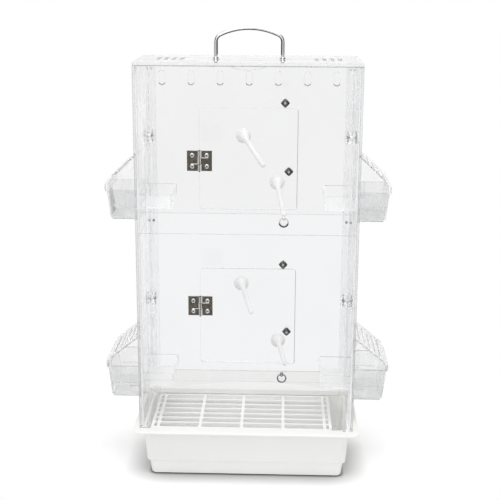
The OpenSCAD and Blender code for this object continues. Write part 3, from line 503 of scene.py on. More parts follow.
def buildTray():
    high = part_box("base_tray")[1]
    run, wall, lean = tray["flangeRun"], tray["wall"], tray["lean"]
    stepZ, stepW = tray["step"]
    grilleLow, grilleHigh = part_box("floor_grille")
    topHalf = Vector((tray["mouthHalf"], high.y - run))
    share = (high.x - topHalf.x) / run
    rim, under = high.z, high.z - tray["flangeThick"]
    foot = -lean - stepW - tray["footLean"]
    middle, edge = foot - tray["floorRun"], tray["edgeRadius"]
    path = roundCorners([  # way out from the mouth, height, corner radius
        (middle, 0, 0), (foot, 0, 2.5 * mm), (-lean - stepW, stepZ, 0.6 * mm), (-lean, stepZ, 0.9 * mm),
        (0, under, 1.6 * mm), (run, under, edge * 0.8), (run, rim, edge), (-wall, rim, 0.9 * mm),
        (-wall - lean, stepZ + wall, 0.8 * mm), (-wall - lean - stepW, stepZ + wall, 0.8 * mm),
        (foot - wall, tray["floor"], 3 * mm), (middle, tray["floor"], 0)])
    bm = bmesh.new()
    loftRings(bm, [trayRing(outset, z, topHalf, share) for outset, z in path])
    width, thick = tray["ledge"]
    innerY = topHalf.y - wall - lean
    for s in (-1, 1):  # ledges that carry the grille
        place = Vector(((grilleLow.x + grilleHigh.x) / 2, s * (innerY + 1 * mm), grilleLow.z - thick / 2))
        size = Vector((grilleHigh.x - grilleLow.x, width, thick))
        block = bmesh.ops.create_cube(bm, matrix=Matrix.LocRotScale(place, None, size))["verts"]
        edges = {e for v in block for e in v.link_edges}
        bmesh.ops.bevel(bm, geom=list(edges), offset=0.5 * mm, segments=2, affect="EDGES")
    piece = addMade(bm, "litter_tray", "base_tray", "tray", tray["smooth"])

    def outward(normal, at):
        return normal.x * at.x + normal.y * at.y

    # painted shade on the outer walls and painted light on the inside faces
    finishFaces(piece, "trayWall", lambda normal, at: (
        abs(normal.z) < slant and stepZ < at.z < under and outward(normal, at) > 0))
    finishFaces(piece, "trayInside", lambda normal, at: (
        at.z > tray["floor"] - 0.1 * mm and (outward(normal, at) < 0 or normal.z > square) and at.z < under))


buildTray()
softenedCopy("floor_grille", finishes["grille"], 0.9 * mm, 3, 40)
print("tray and grille made")


# Clear sheets, corner angles and feeders

clear = {
    "sheetEdge": 0.3 * mm,
    "angleEdge": 0.5 * mm,
    "mouldedEdge": 0.4 * mm,
    "inset": 0.06 * mm,
    "doorStrip": 0.7 * mm,  # width of the dark strip down the door's free edge, painted shade for the gap beside the door
    "ventEnd": 1.8 * mm,  # how far up a vent its rounded end looks dark
    "ventChamfer": 1.3 * mm,
    "notch": 4.4 * mm,  # the thumb notch lies within this of the front panel's head
    "ventFoot": 23 * mm,  # the vents end this far below the front panel's head
    "ventTall": 18 * mm,
    "cupStart": 148 * mm,  # the part of a cup outside the walls begins here
    "cupFoot": 0.9 * mm,  # height of the dark line at a cup's foot
    "cupOuter": 9 * mm,  # a cup's outer wall lies within this of its end
    "slopeThick": 2.6 * mm,
    "angleSide": 146.6 * mm,  # beyond this a corner angle's faces belong to its side leg
    "topLine": 1.3 * mm,  # dark line along the foot of the top sheet's front edge
    "armUp": 15.5 * mm,  # height of the cup's arms above the cup's base
    "slotUp": 30 * mm,  # a hood's slots lie above the arms by at least this
    "armThick": 2.4 * mm,
    "slotMargin": 4 * mm,  # a hood's slots end at least this far from its ends
    "slack": 0.3 * mm,
}


def clearPiece(node, finish, edge, segments=2, smoothBelow=None):
    return softenedCopy(node, finishes[finish], clear[edge], segments, smoothBelow, clear["inset"])


def sawnSheet(node, finish):  # with sawn edges at its top and foot
    low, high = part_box(node)
    finishFaces(clearPiece(node, finish, "sheetEdge"), "sawnEdge", lambda normal, at: (
        abs(normal.z) > 0.5 and min(at.z - low.z, high.z - at.z) < 1 * mm))


def paintedGapShadeStrip(piece):  # cuts a narrow strip off the front face, down the door's free edge, and darkens it with that edge: a real cut edge with painted shade for the gap beside the door
    right = max(vert.co.x for vert in piece.data.vertices) - clear["doorStrip"]
    cutFaces(piece, across("X", right))
    finishFaces(piece, "routedEdge", lambda normal, at: at.x > right and normal.y < 0.5)


def buildFeeder(side, level):
    ending = side + "_" + level
    hood = clearPiece("feeder_hood_" + ending, "hood", "mouldedEdge")
    cup = clearPiece("feeder_cup_" + ending, level + "Cup", "mouldedEdge")
    cupOut = max(abs(vert.co.x) for vert in cup.data.vertices) - clear["cupOuter"]
    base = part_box("feeder_cup_" + ending)[0].z
    armZ, footZ = base + clear["armUp"], base + clear["cupFoot"]
    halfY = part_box("feeder_hood_" + ending)[1].y
    slope = max((p.normal for p in hood.data.polygons if p.normal.z > slant and abs(p.normal.y) < 0.1),
                key=lambda normal: normal.z * (1 - abs(normal.z))).copy()

    def isSlot(normal, at):
        return (abs(normal.dot(slope)) < slant and abs(at.y) < halfY - clear["slotMargin"]
                and at.z > armZ + clear["slotUp"])

    def isArm(normal, at):
        return armZ - clear["slack"] < at.z < armZ + clear["armThick"] + clear["slack"]

    # the slot walls are frosted; the arms get a painted highlight
    finishFaces(hood, "frostAndHighlight", lambda normal, at: isSlot(normal, at) or isArm(normal, at))
    finishFaces(cup, "frostAndHighlight", lambda normal, at: normal.z < -0.5)
    finishFaces(cup, "cupWall", lambda normal, at: abs(normal.x) > square and abs(at.x) > cupOut)
    # The foot of the front wall and the outer corners show as thin grey lines
    cutFaces(cup, across("Z", footZ))
    finishFaces(cup, "routedEdge", lambda normal, at: (
        normal.y < -slant and normal.z > -0.95 and at.z < footZ and abs(at.x) > clear["cupStart"]
        or abs(normal.z) < slant < abs(normal.x) < square and abs(at.x) > cupOut))
    # The ends of the sloping plate look pale grey
    top = max((p.center for p in hood.data.polygons), key=lambda at: at.dot(slope))
    plane = top - slope * clear["slopeThick"]
    cutFaces(hood, [(plane, slope)])
    finishFaces(hood, "slopeEnd", lambda normal, at: (
        abs(normal.y) > square and (at - plane).dot(slope) > 0 and abs(at.y) > halfY - clear["slack"]))
    finishFaces(hood, level + "Slope", lambda normal, at: abs(normal.dot(slope)) > 0.95)


for level in levels:
    sawnSheet("back_panel_" + level, level + "Back")
    sawnSheet("front_panel_" + level, "frontSheet")
    paintedGapShadeStrip(clearPiece("door_" + level, "frontSheet", "sheetEdge"))
    for side in sides:
        clearPiece("side_panel_" + side + "_" + level, "sideSheet", "sheetEdge")
        buildFeeder(side, level)


def chamferRims(bm, chosen):  # chamfers the chosen edges between the front face and what cuts it
    front = min(vert.co.y for vert in bm.verts) + 0.1 * mm
    rims = []
    for edge in bm.edges:
        facing = [face.normal.y for face in edge.link_faces]
        if (len(facing) == 2 and min(facing) < -square and max(facing) > -slant
                and all(vert.co.y < front for vert in edge.verts)
                and chosen([vert.co.z for vert in edge.verts])):
            rims.append(edge)
    bmesh.ops.bevel(bm, geom=rims, offset=clear["ventChamfer"], offset_type="OFFSET", segments=2, profile=0.5,
                    affect="EDGES")


def routVents(piece):  # chamfers the front of the vents and of the thumb notch, darker at their lower ends
    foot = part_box("front_panel_upper")[1].z - clear["ventFoot"]
    wide, slack = clear["ventChamfer"], clear["slack"]
    bm = bmesh.new()
    bm.from_mesh(piece.data)
    chamferRims(bm, lambda heights: foot - slack < min(heights) and max(heights) < foot + clear["ventTall"])
    head = max(vert.co.z for vert in bm.verts)
    notchFoot, notchHead = head - clear["notch"], head - 0.02 * mm
    chamferRims(bm, lambda heights: min(heights) > notchFoot and sum(heights) / 2 < notchHead)
    bm.to_mesh(piece.data)
    bm.free()
    finishFaces(piece, "routedEdge", lambda normal, at: (
        normal.z > 0.15 and normal.y < 0.2 and foot - wide - slack < at.z < foot + clear["ventEnd"]))
    finishFaces(piece, "paleEdge", lambda normal, at: (
        normal.z > 0.15 and notchFoot - wide < at.z < notchHead and normal.y > -0.95))


routVents(bpy.data.objects["front_panel_upper_softened"])
sawnSheet("back_skirt", "skirt")


def finishTop(piece):
    low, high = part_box("top_panel")
    lineZ = low.z + clear["topLine"]
    cutFaces(piece, across("Z", lineZ))
    finishFaces(piece, "paleEdge", lambda normal, at: abs(normal.z) < 0.5)
    finishFaces(piece, "sawnEdge", lambda normal, at: abs(normal.y) > 0.5 and abs(at.y) > high.y - 2 * mm)
    # the upper band of the front edge gets a painted highlight
    finishFaces(piece, "frostAndHighlight", lambda normal, at: normal.y < -0.5 and at.y < low.y + 2 * mm and at.z > lineZ)


finishTop(clearPiece("top_panel", "topSheet", "angleEdge"))
seam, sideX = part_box("front_panel_upper")[0].z, clear["angleSide"]
for end in ("front", "back"):
    for side in sides:
        post = clearPiece("corner_post_" + end + "_" + side, "cornerAngle", "angleEdge")
        cutFaces(post, across("X", -sideX, sideX) + across("Z", seam))
        finishFaces(post, "angleSide", lambda normal, at: abs(at.x) > sideX and at.z > seam)
        finishFaces(post, "angleSideLow", lambda normal, at: abs(at.x) > sideX and at.z < seam)
print("clear body made")


# Perches

perches = {  # place on the back wall, turn to the right and droop in degrees
    "perch_upper_left": {"x": -10 * mm, "z": 470.5 * mm, "turn": 20, "droop": 18},
    "perch_upper_right": {"x": 39 * mm, "z": 403 * mm, "turn": 6.5, "droop": 18},
    "perch_lower_left": {"x": -12 * mm, "z": 250.5 * mm, "turn": 11, "droop": 10},
    "perch_lower_right": {"x": 43 * mm, "z": 162.5 * mm, "turn": 6.5, "droop": 2},
}
perchShape = {
    "length": 95 * mm,
    "radius": 3.5 * mm,
    "footRadius": 11 * mm,
    "flareRadius": 10 * mm,
    "flareLength": 26 * mm,
    "flareSteps": 16,
    "tipSteps": 8,
    "bend": 0.35,  # share of the flare over which the stem leaves the wall's normal
    "foot": ((0.9, 0), (0.1, 0.4), (0, 1.2), (0.25, 1.9), (0.9, 2.4)),  # inset and height in mm
    "steps": 48,
    "smooth": 50,
}


def buildPerch(node, stance):
    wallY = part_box(node)[1].y
    base = Vector((stance["x"], wallY, stance["z"]))
    turn, droop = math.radians(stance["turn"]), math.radians(stance["droop"])
    stem = Vector((math.cos(droop) * math.sin(turn), -math.cos(droop) * math.cos(turn), -math.sin(droop)))
    shape = perchShape
    foot = [(shape["footRadius"] - inset * mm, up * mm) for inset, up in shape["foot"]]
    flare = []
    for k in range(1, shape["flareSteps"] + 1):
        t = k / shape["flareSteps"]
        r = shape["radius"] + (shape["flareRadius"] - shape["radius"]) * (1 - t) ** 2 * (1 - t / 2)
        flare.append((r, max(t * shape["flareLength"], 2.6 * mm + t * 0.5 * mm)))
    tip = [(shape["radius"] * math.cos(a), shape["length"] - shape["radius"] + shape["radius"] * math.sin(a))
           for a in (math.radians(90 * k / shape["tipSteps"]) for k in range(shape["tipSteps"]))]
    tip.append((0.3 * mm, shape["length"]))
    rings = []
    for r, s in foot + flare + tip:
        lean = min(s / shape["flareLength"], 1)
        lean = lean * lean * (3 - 2 * lean)
        along = Vector((0, -1, 0)).lerp(stem, lean).normalized()
        bent = min(1, s / (shape["bend"] * shape["flareLength"]))
        centre = base + (Vector((0, -1, 0)) * s).lerp(stem * s, bent)
        rings += latheRings([(r, 0)], shape["steps"], axisFrame(centre, along))
    bm = bmesh.new()
    loftRings(bm, rings)
    addMade(bm, node + "_turned", node, "perch", shape["smooth"])


for node, stance in perches.items():
    buildPerch(node, stance)
print("perches made:", len(perches))


# Carrying handle

handle = {
    "rod": 5.5 * mm,
    "span": 90 * mm,
    "leg": 23 * mm,
    "rise": 17.93 * mm,
    "shoulder": 10 * mm,
    "collar": (10 * mm, 3 * mm),  # diameter and height
    "sides": 48,
    "steps": (4, 12, 40),  # along a leg, a shoulder and the arch
    "grip": 10 * mm,  # height of the point that the inner side faces
    "inside": 0.36,  # faces that look inwards more than this get a painted dark reflection of the cage
    # leg faces that look sideways outwards more than this get a painted grey reflection
    "outside": 0.8,
    "smooth": 35,
}


def handlePath(baseZ):
    half, rise, shoulder = handle["span"] / 2, handle["rise"], handle["shoulder"]
    inner = half - shoulder
    arch = (inner ** 2 + rise ** 2 - shoulder ** 2) / (2 * (rise - shoulder))
    spread = math.atan2(inner, arch - rise)
    legSteps, turnSteps, archSteps = handle["steps"]
    legTop = baseZ + handle["leg"]
    right = [Vector((half, 0, baseZ + handle["leg"] * k / legSteps)) for k in range(legSteps)]
    for k in range(turnSteps + 1):
        a = (math.pi / 2 - spread) * k / turnSteps
        right.append(Vector((inner + shoulder * math.cos(a), 0, legTop + shoulder * math.sin(a))))
    top = []
    for k in range(1, archSteps):
        a = math.pi / 2 - spread + 2 * spread * k / archSteps
        top.append(Vector((arch * math.cos(a), 0, legTop + rise - arch + arch * math.sin(a))))
    left = [Vector((-p.x, 0, p.z)) for p in reversed(right)]
    return right + top + left


def buildHandle():
    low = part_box("handle")[0]
    path = handlePath(low.z)
    rings = []
    for i, point in enumerate(path):
        ahead = path[min(i + 1, len(path) - 1)] - path[max(i - 1, 0)]
        normal = Vector((ahead.z, 0, -ahead.x)).normalized()
        r = handle["rod"] / 2
        rings.append([point + normal * r * math.cos(a) + Vector((0, 1, 0)) * r * math.sin(a)
                      for a in angles(handle["sides"])])
    bm = bmesh.new()
    loftRings(bm, rings)
    wide, tall = handle["collar"]
    thin, half = handle["rod"] / 2 - 0.3 * mm, wide / 2
    collar = [(thin, 0), (half - 0.3 * mm, 0), (half, 0.4 * mm), (half, tall - 0.9 * mm),
              (half - 0.3 * mm, tall - 0.3 * mm), (half - 1 * mm, tall), (thin, tall)]
    for s in (-1, 1):
        foot = Matrix.Translation((s * handle["span"] / 2, 0, low.z))
        loftLoop(bm, latheRings(collar, handle["sides"], foot))
    piece = addMade(bm, "handle_rod", "handle", "handle", handle["smooth"])
    grip = Vector((0, 0, low.z + handle["grip"]))

    def isPaintedDarkReflection(normal, at):  # faces towards the grip point, which get a painted dark reflection
        inward = grip - at
        inward.y = 0
        return normal.dot(inward.normalized()) > handle["inside"] and at.z > low.z + tall

    # the outer sides of the legs, which get a painted grey reflection
    def isPaintedGreyReflection(normal, at):
        return (normal.x * at.x > 0 and abs(normal.x) > handle["outside"]
                and low.z + tall < at.z < low.z + handle["leg"])

    # painted reflections: grey down the outer sides of the legs, dark on the inner side
    finishFaces(piece, "handlePaintedGreyReflection", isPaintedGreyReflection)
    finishFaces(piece, "handlePaintedDarkReflection", isPaintedDarkReflection)


buildHandle()
print("handle made")


# Screws, bolts and pivots with cross recesses

# below paintedShadeDepth of a head's height the cross recess gets painted shade
crossRecess = {"arm": 0.13, "reach": 0.52, "depth": 0.5, "middle": 0.2, "steps": 64, "paintedShadeDepth": 0.12}
headRings = (  # shares of a head's radius and height
    (1, 0), (1, 0.3), (0.98, 0.5), (0.93, 0.68), (0.84, 0.82), (0.72, 0.91), (0.6, 0.96), (0.53, 0.98),
    (0.5, 0.98), (0.4, 0.99), (0.3, 1), (0.22, 1), (0.18, 1), (0.1, 1), (0.04, 1))


def crossHead(bm, frameMatrix, radius, height):
    rings = []
    for share, level in headRings:
        ring = []
        for a in angles(crossRecess["steps"]):
            x, y = share * math.cos(a), share * math.sin(a)
            inArm = min(abs(x), abs(y)) < crossRecess["arm"] and share < crossRecess["reach"]
            sunk = crossRecess["depth"] if inArm or share < crossRecess["middle"] else 0
            ring.append(frameMatrix @ Vector((x * radius, y * radius, height * (level - sunk))))
        rings.append(ring)
    loftRings(bm, rings)


def solidBoxes(node):  # the box of each separate solid in a node
    bm = bmesh.new()
    bm.from_mesh(cadNodes[node].data)
    bmesh.ops.remove_doubles(bm, verts=bm.verts, dist=weld)
    bm.verts.ensure_lookup_table()
    seen, found = set(), []
    for start in bm.verts:
        if start.index in seen:
            continue
        seen.add(start.index)
        group, todo = [], [start]
        while todo:
            vert = todo.pop()
            group.append(vert.co.copy())
            for other in (edge.other_vert(vert) for edge in vert.link_edges):
                if other.index not in seen:
                    seen.add(other.index)
                    todo.append(other)
        found.append([Vector([pick(p[k] for p in group) for k in range(3)]) for pick in (min, max)])
    bm.free()
    return found


screwShape = {"roll": 0.5, "rollStep": 0.8, "steps": 24, "tip": 0.7, "smooth": 35}  # rolls in radians
screws = {  # way out of the head, its width and height, the shank's width, all in mm, and the finish
    "post_screws": ("+Y", 3.8, 1, 2.2, "steel"),
    "handle_screws": ("-Z", 7, 2, 3, "steel"),
    "perch_bolts": ("+Y", 10, 2.6, 4, "steel"),
    "side_knob_bolts": ("outX", 10, 2.6, 3.2, "bolt"),
    "hinge_frame_screws": ("-Y", 6.2, 1.4, 2.6, "steel"),
    "button_pivots": ("-Y", 5, 1.2, 3, "cap"),
    "hinge_door_screws_upper": ("-Y", 6.2, 1.4, 2.6, "steel"),
    "door_knob_screw_upper": ("+Y", 7, 2, 2.6, "steel"),
    "hinge_door_screws_lower": ("-Y", 6.2, 1.4, 2.6, "steel"),
    "door_knob_screw_lower": ("+Y", 7, 2, 2.6, "steel"),
}


def buildScrews(node, axis, headWide, headTall, shankWide, finish):
    shape = screwShape
    headWide, headTall, shankWide = headWide * mm, headTall * mm, shankWide * mm
    k = "XYZ".index(axis[-1])
    bm = bmesh.new()
    heads = []
    for turn, (low, high) in enumerate(solidBoxes(node)):
        way = -1 if axis[0] == "-" else 1
        if axis == "outX":
            way = 1 if low.x > 0 else -1
        direction = Vector((0, 0, 0))
        direction[k] = way
        tip = (low + high) / 2
        tip[k] = high[k] if way > 0 else low[k]
        roll = shape["roll"] + shape["rollStep"] * turn
        frameMatrix = axisFrame(tip - direction * headTall, direction, roll)
        crossHead(bm, frameMatrix, headWide / 2, headTall)
        length, r = (high - low)[k] - headTall, shankWide / 2
        heads.append((tip, headTall))
        profile = [(0.1 * mm, -length), (r * shape["tip"], -length), (r, 0.5 * mm - length), (r, 0.1 * mm)]
        loftRings(bm, latheRings(profile, shape["steps"], frameMatrix))
    piece = addMade(bm, node + "_crossed", node, finish, shape["smooth"])

    def isShadedRecess(normal, at):  # painted shade in the cross
        tip, tall = min(heads, key=lambda head: (head[0] - at).length)
        away = tip - at
        depth, away[k] = abs(away[k]), 0
        return away.length < crossRecess["reach"] * headWide / 2 and depth > crossRecess["paintedShadeDepth"] * tall

    # the deep faces of the cross get the dark nickel as painted shade
    finishFaces(piece, "nickel", isShadedRecess)
    return piece


crossed = {node: buildScrews(node, *size) for node, size in screws.items()}
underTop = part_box("front_panel_upper")[1].z - 20 * mm
# painted highlight on the screw heads near the top
finishFaces(crossed["post_screws"], "paintedHighlight", lambda normal, at: at.z > underTop)
knobBolts = crossed["side_knob_bolts"]
boltTip = min(abs(vert.co.x) for vert in knobBolts.data.vertices) + 2 * mm
cutFaces(knobBolts, across("X", -boltTip, boltTip))
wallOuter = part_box("side_panel_right_upper")[1].x - 0.1 * mm
finishFaces(knobBolts, "steel", lambda normal, at: boltTip < abs(at.x) < wallOuter)
buttonMiddles = [sum(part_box("turn_button_" + level), Vector()) / 2 for level in levels]
# painted highlight on the pivot heads in the buttons' middles
finishFaces(crossed["button_pivots"], "capPaintedHighlight", lambda normal, at: normal.y < -0.4 and any(
    abs(at.z - middle.z) < 1.3 * mm for middle in buttonMiddles))
print("screws made")


# Hinges

hinge = {
    "edge": 0.25 * mm,
    "pinHead": 0.9 * mm,
    "pinRadius": 1 * mm,
    "pinX": -63 * mm,
    "pinSteps": 32,
    "smooth": (35, 30),  # pin and leaves
    "paintedKnuckleHighlight": (2.4 * mm, 11.5 * mm, 0.9 * mm),  # from, to, width of the painted highlight line at a knuckle's end
}


def buildPin(node):
    low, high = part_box(node)
    wide = (high.x - low.x) / 2
    long, head = (high.z - low.z) / 2, hinge["pinHead"]
    half = [(hinge["pinRadius"], 0), (hinge["pinRadius"], long - head), (wide, long - head),
            (wide, long - 0.5 * head), (wide * 0.8, long - 0.15 * head),
            (wide * 0.45, long), (0.1 * mm, long)]
    profile = [(r, -h) for r, h in reversed(half)] + half[1:]
    bm = bmesh.new()
    loftRings(bm, latheRings(profile, hinge["pinSteps"], Matrix.Translation((low + high) / 2)))
    addMade(bm, node + "_domed", node, "nickel", hinge["smooth"][0])


def buildLeaf(node, way, share):  # way -1 for the left leaf, share is the height of its painted highlight line
    leaf = softenedCopy(node, finishes["nickel"], hinge["edge"], 2, hinge["smooth"][1])
    low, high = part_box(node)
    near, far, wide = hinge["paintedKnuckleHighlight"]
    lineZ = low.z + (high.z - low.z) * share
    ends = sorted((hinge["pinX"] + way * near, hinge["pinX"] + way * far))
    # a painted highlight line across the leaf at the knuckle's end
    cutFaces(leaf, across("Z", lineZ - wide / 2, lineZ + wide / 2) + across("X", *ends))
    finishFaces(leaf, "paintedKnuckleHighlight", lambda normal, at: (
        normal.y < -0.5 and abs(at.z - lineZ) < wide / 2 and ends[0] < at.x < ends[1]))
    finishFaces(leaf, "paintedHighlight", lambda normal, at: (  # painted highlights on the flanks of the knuckles
        abs(at.x - hinge["pinX"]) < near and 0.3 < abs(normal.x) < 0.93 and normal.y < 0))


for level in levels:
    buildLeaf("hinge_frame_leaf_" + level, -1, 0.35)
    buildLeaf("hinge_door_leaf_" + level, 1, 0.65)
    buildPin("hinge_pin_" + level)
print("hinges made")


# Door knobs, turn buttons and rings

cap = {
    "power": 1.2,
    "edge": 0.3,
    "dome": (2.2, 0.6),
    # share of the outline within which a cap's middle gets a painted highlight
    "bright": 0.34,
    "steps": 72,
    "rings": 14,
    "spread": 0.8,  # below 1 the rings lie closer together near the edge
    "walks": 12,
    "under": 0.2,
    "stemSteps": 32,
    "smooth": 25,
}


def capShare(x, y, half):  # 0 in the middle and 1 on the outline of the four-pointed cap
    return (abs(x / half) ** cap["power"] + abs(y / half) ** cap["power"]) ** (1 / cap["power"])


def capHeight(share, tall):
    inner, outer = cap["dome"]
    return tall * (cap["edge"] + (1 - cap["edge"]) * max(0, 1 - share ** inner) ** outer)


def buildCap(node, holeAt, holeRadius, stem=None):
    low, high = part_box(node)
    middle = (low + high) / 2
    half = (high.x - low.x) / 2
    tall = (high.y - low.y) if stem is None else stem["cap"]
    face = Vector((middle.x, low.y + tall, middle.z))
    frameMatrix = Matrix(((1, 0, 0, face.x), (0, 0, -1, face.y), (0, 1, 0, face.z), (0, 0, 0, 1)))
    bm = bmesh.new()
    rings = []
    for k in range(cap["rings"] + 1):
        ring = []
        for a in angles(cap["steps"]):
            dx, dy = math.cos(a), math.sin(a)
            reach = half
            for _ in range(cap["walks"]):  # walk to the outline along this angle
                share = capShare(holeAt[0] + dx * reach, holeAt[1] + dy * reach, half)
                reach /= share
            r = holeRadius + (reach - holeRadius) * (k / cap["rings"]) ** cap["spread"]
            x, y = holeAt[0] + dx * r, holeAt[1] + dy * r
            ring.append(Vector((x, y, capHeight(min(capShare(x, y, half), 1), tall))))
        rings.append(ring)
    inner = [Vector((p.x, p.y, cap["under"] * tall)) for p in rings[0]]
    under = [Vector((p.x, p.y, 0)) for p in rings[-1]]
    rings = ([inner] if holeRadius > 0.3 * mm else []) + rings + [under]
    loftRings(bm, [[frameMatrix @ p for p in ring] for ring in rings])
    if stem is not None:
        back = high.y - face.y
        profile = [(stem["radius"], -back), (stem["radius"], 0.1 * mm)]
        loftRings(bm, latheRings(profile, cap["stemSteps"], frameMatrix))
    piece = addMade(bm, node + "_pointed", node, "cap", cap["smooth"])
    finishFaces(piece, "capPaintedHighlight", lambda normal, at: (  # the painted highlight in the middle
        at.y < face.y and capShare(at.x - middle.x, at.z - middle.z, half) < cap["bright"]))


doorKnob = {"hole": (0, 0), "holeRadius": 0.1 * mm, "stem": {"cap": 4 * mm, "radius": 2.5 * mm}}
turnButton = {"hole": (0, -2.2 * mm), "holeRadius": 2.6 * mm}
ring = {
    "wear": 0.45 * mm,  # how much thicker the wire is at the ring's foot
    "steps": 64,
    "wireSteps": 16,
    "shine": (-0.05, -0.2),  # heights, in radii, above which the upper ring gets a painted highlight and below which a painted dark reflection
    "smooth": 60,
    "postMiddle": 1.2 * mm,  # radius of the painted highlight in the middle of a ring post
}
knobRim = 2.6 * mm  # width of the grey rim round the inner end of a side knob


def buildRing(node):
    low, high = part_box(node)
    middle, wire = (low + high) / 2, (high.y - low.y) / 2
    radius = (high.x - low.x) / 2 - wire
    rings = []
    for a in angles(ring["steps"]):
        out = Vector((math.cos(a), 0, math.sin(a)))
        extra = ring["wear"] * (1 - math.sin(a)) / 2
        rings.append([middle + out * (radius - extra + (wire + extra) * math.cos(b))
                      + Vector((0, wire * math.sin(b), 0)) for b in angles(ring["wireSteps"])])
    bm = bmesh.new()
    loftLoop(bm, rings)
    piece = addMade(bm, node + "_round", node, "bolt", ring["smooth"])
    if node == "ring_upper":  # painted reflection on this one: bright above for the white room, dark below
        bright, dark = (middle.z + share * radius for share in ring["shine"])
        finishFaces(piece, "paintedHighlight", lambda normal, at: at.z > bright)
        finishFaces(piece, "nickel", lambda normal, at: at.z < dark)


for level in levels:
    buildCap("door_knob_" + level, doorKnob["hole"], doorKnob["holeRadius"], doorKnob["stem"])
    buildCap("turn_button_" + level, turnButton["hole"], turnButton["holeRadius"])
    buildRing("ring_" + level)
    for side in sides:
        knob = clearPiece("side_knob_" + side + "_" + level, "hood", "angleEdge", 2, 30)
        innerEnd = min(abs(vert.co.x) for vert in knob.data.vertices) + knobRim
        cutFaces(knob, across("X", -innerEnd, innerEnd))
        finishFaces(knob, "routedEdge", lambda normal, at: abs(normal.x) < 0.7 and abs(at.x) < innerEnd)
ringPosts = softenedCopy("ring_posts", finishes["bolt"], 0.2 * mm, 2, 30)
postMiddles = [(low + high) / 2 for low, high in solidBoxes("ring_posts")]
# a painted highlight in the middle of each ring post
finishFaces(ringPosts, "capPaintedHighlight", lambda normal, at: normal.y < -0.4 and any(
    math.hypot(at.x - middle.x, at.z - middle.z) < ring["postMiddle"] for middle in postMiddles))
# painted highlight on the ring post above the seam
finishFaces(ringPosts, "paintedHighlight", lambda normal, at: at.z > seam)
print("knobs, buttons and rings made")


# Studio: floor, soft light and camera

studio = {
    "floor": (0.3, -0.2 * mm),  # radius and height
    "floorSteps": 128,
    "floorColour": (0.92, 0.92, 0.92),
    "floorGlow": 0.1,
    "contacts": ((0.006, 0.42), (0.042, 0.55)),  # reach and darkest tone of the contact shadow
    "contactSamples": 16,
    "ambient": 0.8,
    "topLamp": {"place": (0.1, -0.5, 1.9), "size": 1.3, "power": 13},
    "frontLamp": {"place": (-0.5, -1.9, 1.3), "size": 1, "power": 5},
    "box": 0.95,  # brightness of the soft box behind the camera, seen in the gloss
    "dark": 0.08,
    "bands": (0.55, 0.66, 0.94, 0.97),  # from the back, white to dark and dark to the box
    "above": ((0.45, 0), (0.7, 1)),
    "lampAim": (0, 0, 0.25),
    "view": {"place": (0.0443, -1.4355, 0.6913), "down": 14.596, "left": 1.676, "roll": 0.313,
             "lens": 75.83, "sensor": 36, "near": 0.01},
}


def buildFloor():
    bm = bmesh.new()
    outline = latheRings([studio["floor"]], studio["floorSteps"], Matrix.Identity(4))[0]
    bm.faces.new([bm.verts.new(point) for point in outline])
    mesh = finishMesh(bm, "floor")
    if mesh.polygons[0].normal.z < 0:
        mesh.flip_normals()
    floor = addObject("floor", mesh)
    material, tree = startMaterial("floorPaper")
    # The white of the paper, seen by the eye and in gloss and glass, lights nothing
    seen = raysOf(tree, "Camera", "Glossy", "Transmission")
    # The shadow tightens where the tray meets the paper
    contact = 1
    for reach, dark in studio["contacts"]:
        closeness = addNode(tree, "AmbientOcclusion", {"Distance": reach}, samples=studio["contactSamples"])
        part = mathOf(tree, "MULTIPLY_ADD", closeness.outputs["AO"], 2 - 2 * dark, 2 * dark - 1)
        contact = mathOf(tree, "MULTIPLY", contact, part)
    shade = mathOf(tree, "MAXIMUM", contact, mathOf(tree, "SUBTRACT", 1, seen))
    tone = addNode(tree, "VectorMath", {0: studio["floorColour"], "Scale": shade}, operation="SCALE")
    paper = joined(tree, "BsdfDiffuse", tone.outputs[0])
    strength = mathOf(tree, "MULTIPLY", mathOf(tree, "MULTIPLY", seen, contact), studio["floorGlow"])
    glow = addNode(tree, "Emission", {"Strength": strength}).outputs[0]
    addNode(tree, "OutputMaterial", {"Surface": joined(tree, "AddShader", paper, glow)})
    mesh.materials.append(material)


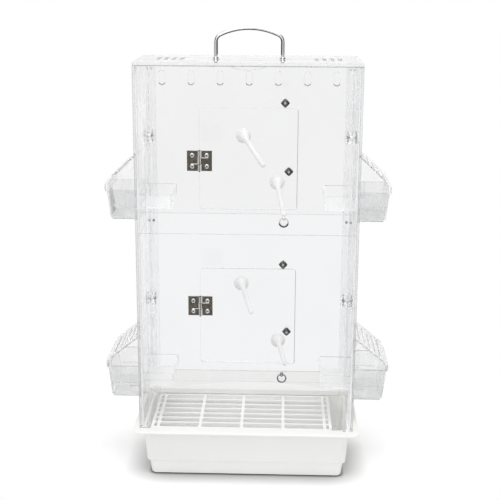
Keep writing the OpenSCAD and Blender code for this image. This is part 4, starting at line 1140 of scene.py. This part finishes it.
def buildWorld():
    world = bpy.data.worlds.new("studio")
    world.use_nodes = True
    bpy.context.scene.world = world
    tree = world.node_tree
    tree.nodes.clear()
    parts = addNode(tree, "SeparateXYZ", {"Vector": addNode(tree, "TexCoord").outputs["Generated"]})
    flat = joined(tree, "CombineXYZ", parts.outputs["X"], parts.outputs["Y"])
    level = joined(tree, "VectorMath", flat, operation="NORMALIZE")
    bearing = addNode(tree, "SeparateXYZ", {"Vector": level})
    front = mathOf(tree, "MULTIPLY_ADD", bearing.outputs["Y"], -0.5, 0.5)  # 0 at the back, 1 in front
    tones = (1, studio["dark"], studio["dark"], studio["box"])
    around = rampOf(tree, front, list(zip(studio["bands"], tones)))
    above = rampOf(tree, parts.outputs["Z"], studio["above"])
    glossy = addNode(tree, "Mix", {"Factor": above, "A": around, "B": (1, 1, 1, 1)}, data_type="RGBA")
    white = {"Color": (1, 1, 1, 1)}
    ambient = addNode(tree, "Background", dict(white, Strength=studio["ambient"]))
    mirrored = joined(tree, "Background", glossy.outputs["Result"])
    plain = addNode(tree, "Background", white)
    light = joined(tree, "MixShader", raysOf(tree, "Glossy"), ambient.outputs[0], mirrored)
    surface = joined(tree, "MixShader", raysOf(tree, "Camera", "Transmission"), light, plain.outputs[0])
    addNode(tree, "OutputWorld", {"Surface": surface})


def addLamp(name, look):
    lamp = bpy.data.lights.new(name, "AREA")
    lamp.size = look["size"]
    lamp.energy = look["power"]
    holder = addObject(name, lamp)
    place = Vector(look["place"])
    holder.location = place
    holder.rotation_euler = (Vector(studio["lampAim"]) - place).to_track_quat("-Z", "Y").to_euler()


def buildCamera():
    view = studio["view"]
    down, left, roll = (math.radians(view[key]) for key in ("down", "left", "roll"))
    ahead = Vector((-math.sin(left) * math.cos(down), math.cos(left) * math.cos(down), -math.sin(down)))
    right = Vector((math.cos(left), math.sin(left), 0))
    up = right.cross(ahead)
    rolledRight = right * math.cos(roll) + up * math.sin(roll)
    rolledUp = up * math.cos(roll) - right * math.sin(roll)
    data = bpy.data.cameras.new("camera")
    data.lens = view["lens"]
    data.sensor_width = view["sensor"]
    data.clip_start = view["near"]
    camera = addObject("camera", data)
    turn = Matrix((rolledRight, rolledUp, -ahead)).transposed().to_4x4()
    camera.matrix_world = Matrix.Translation(view["place"]) @ turn
    bpy.context.scene.camera = camera


buildFloor()
buildWorld()
addLamp("topLamp", studio["topLamp"])
addLamp("frontLamp", studio["frontLamp"])
buildCamera()
scene = bpy.context.scene
scene.view_settings.view_transform = "Standard"
scene.cycles.transparent_max_bounces = 32
scene.cycles.transmission_bounces = 20
scene.cycles.glossy_bounces = 8
scene.cycles.max_bounces = 24
print("studio made")
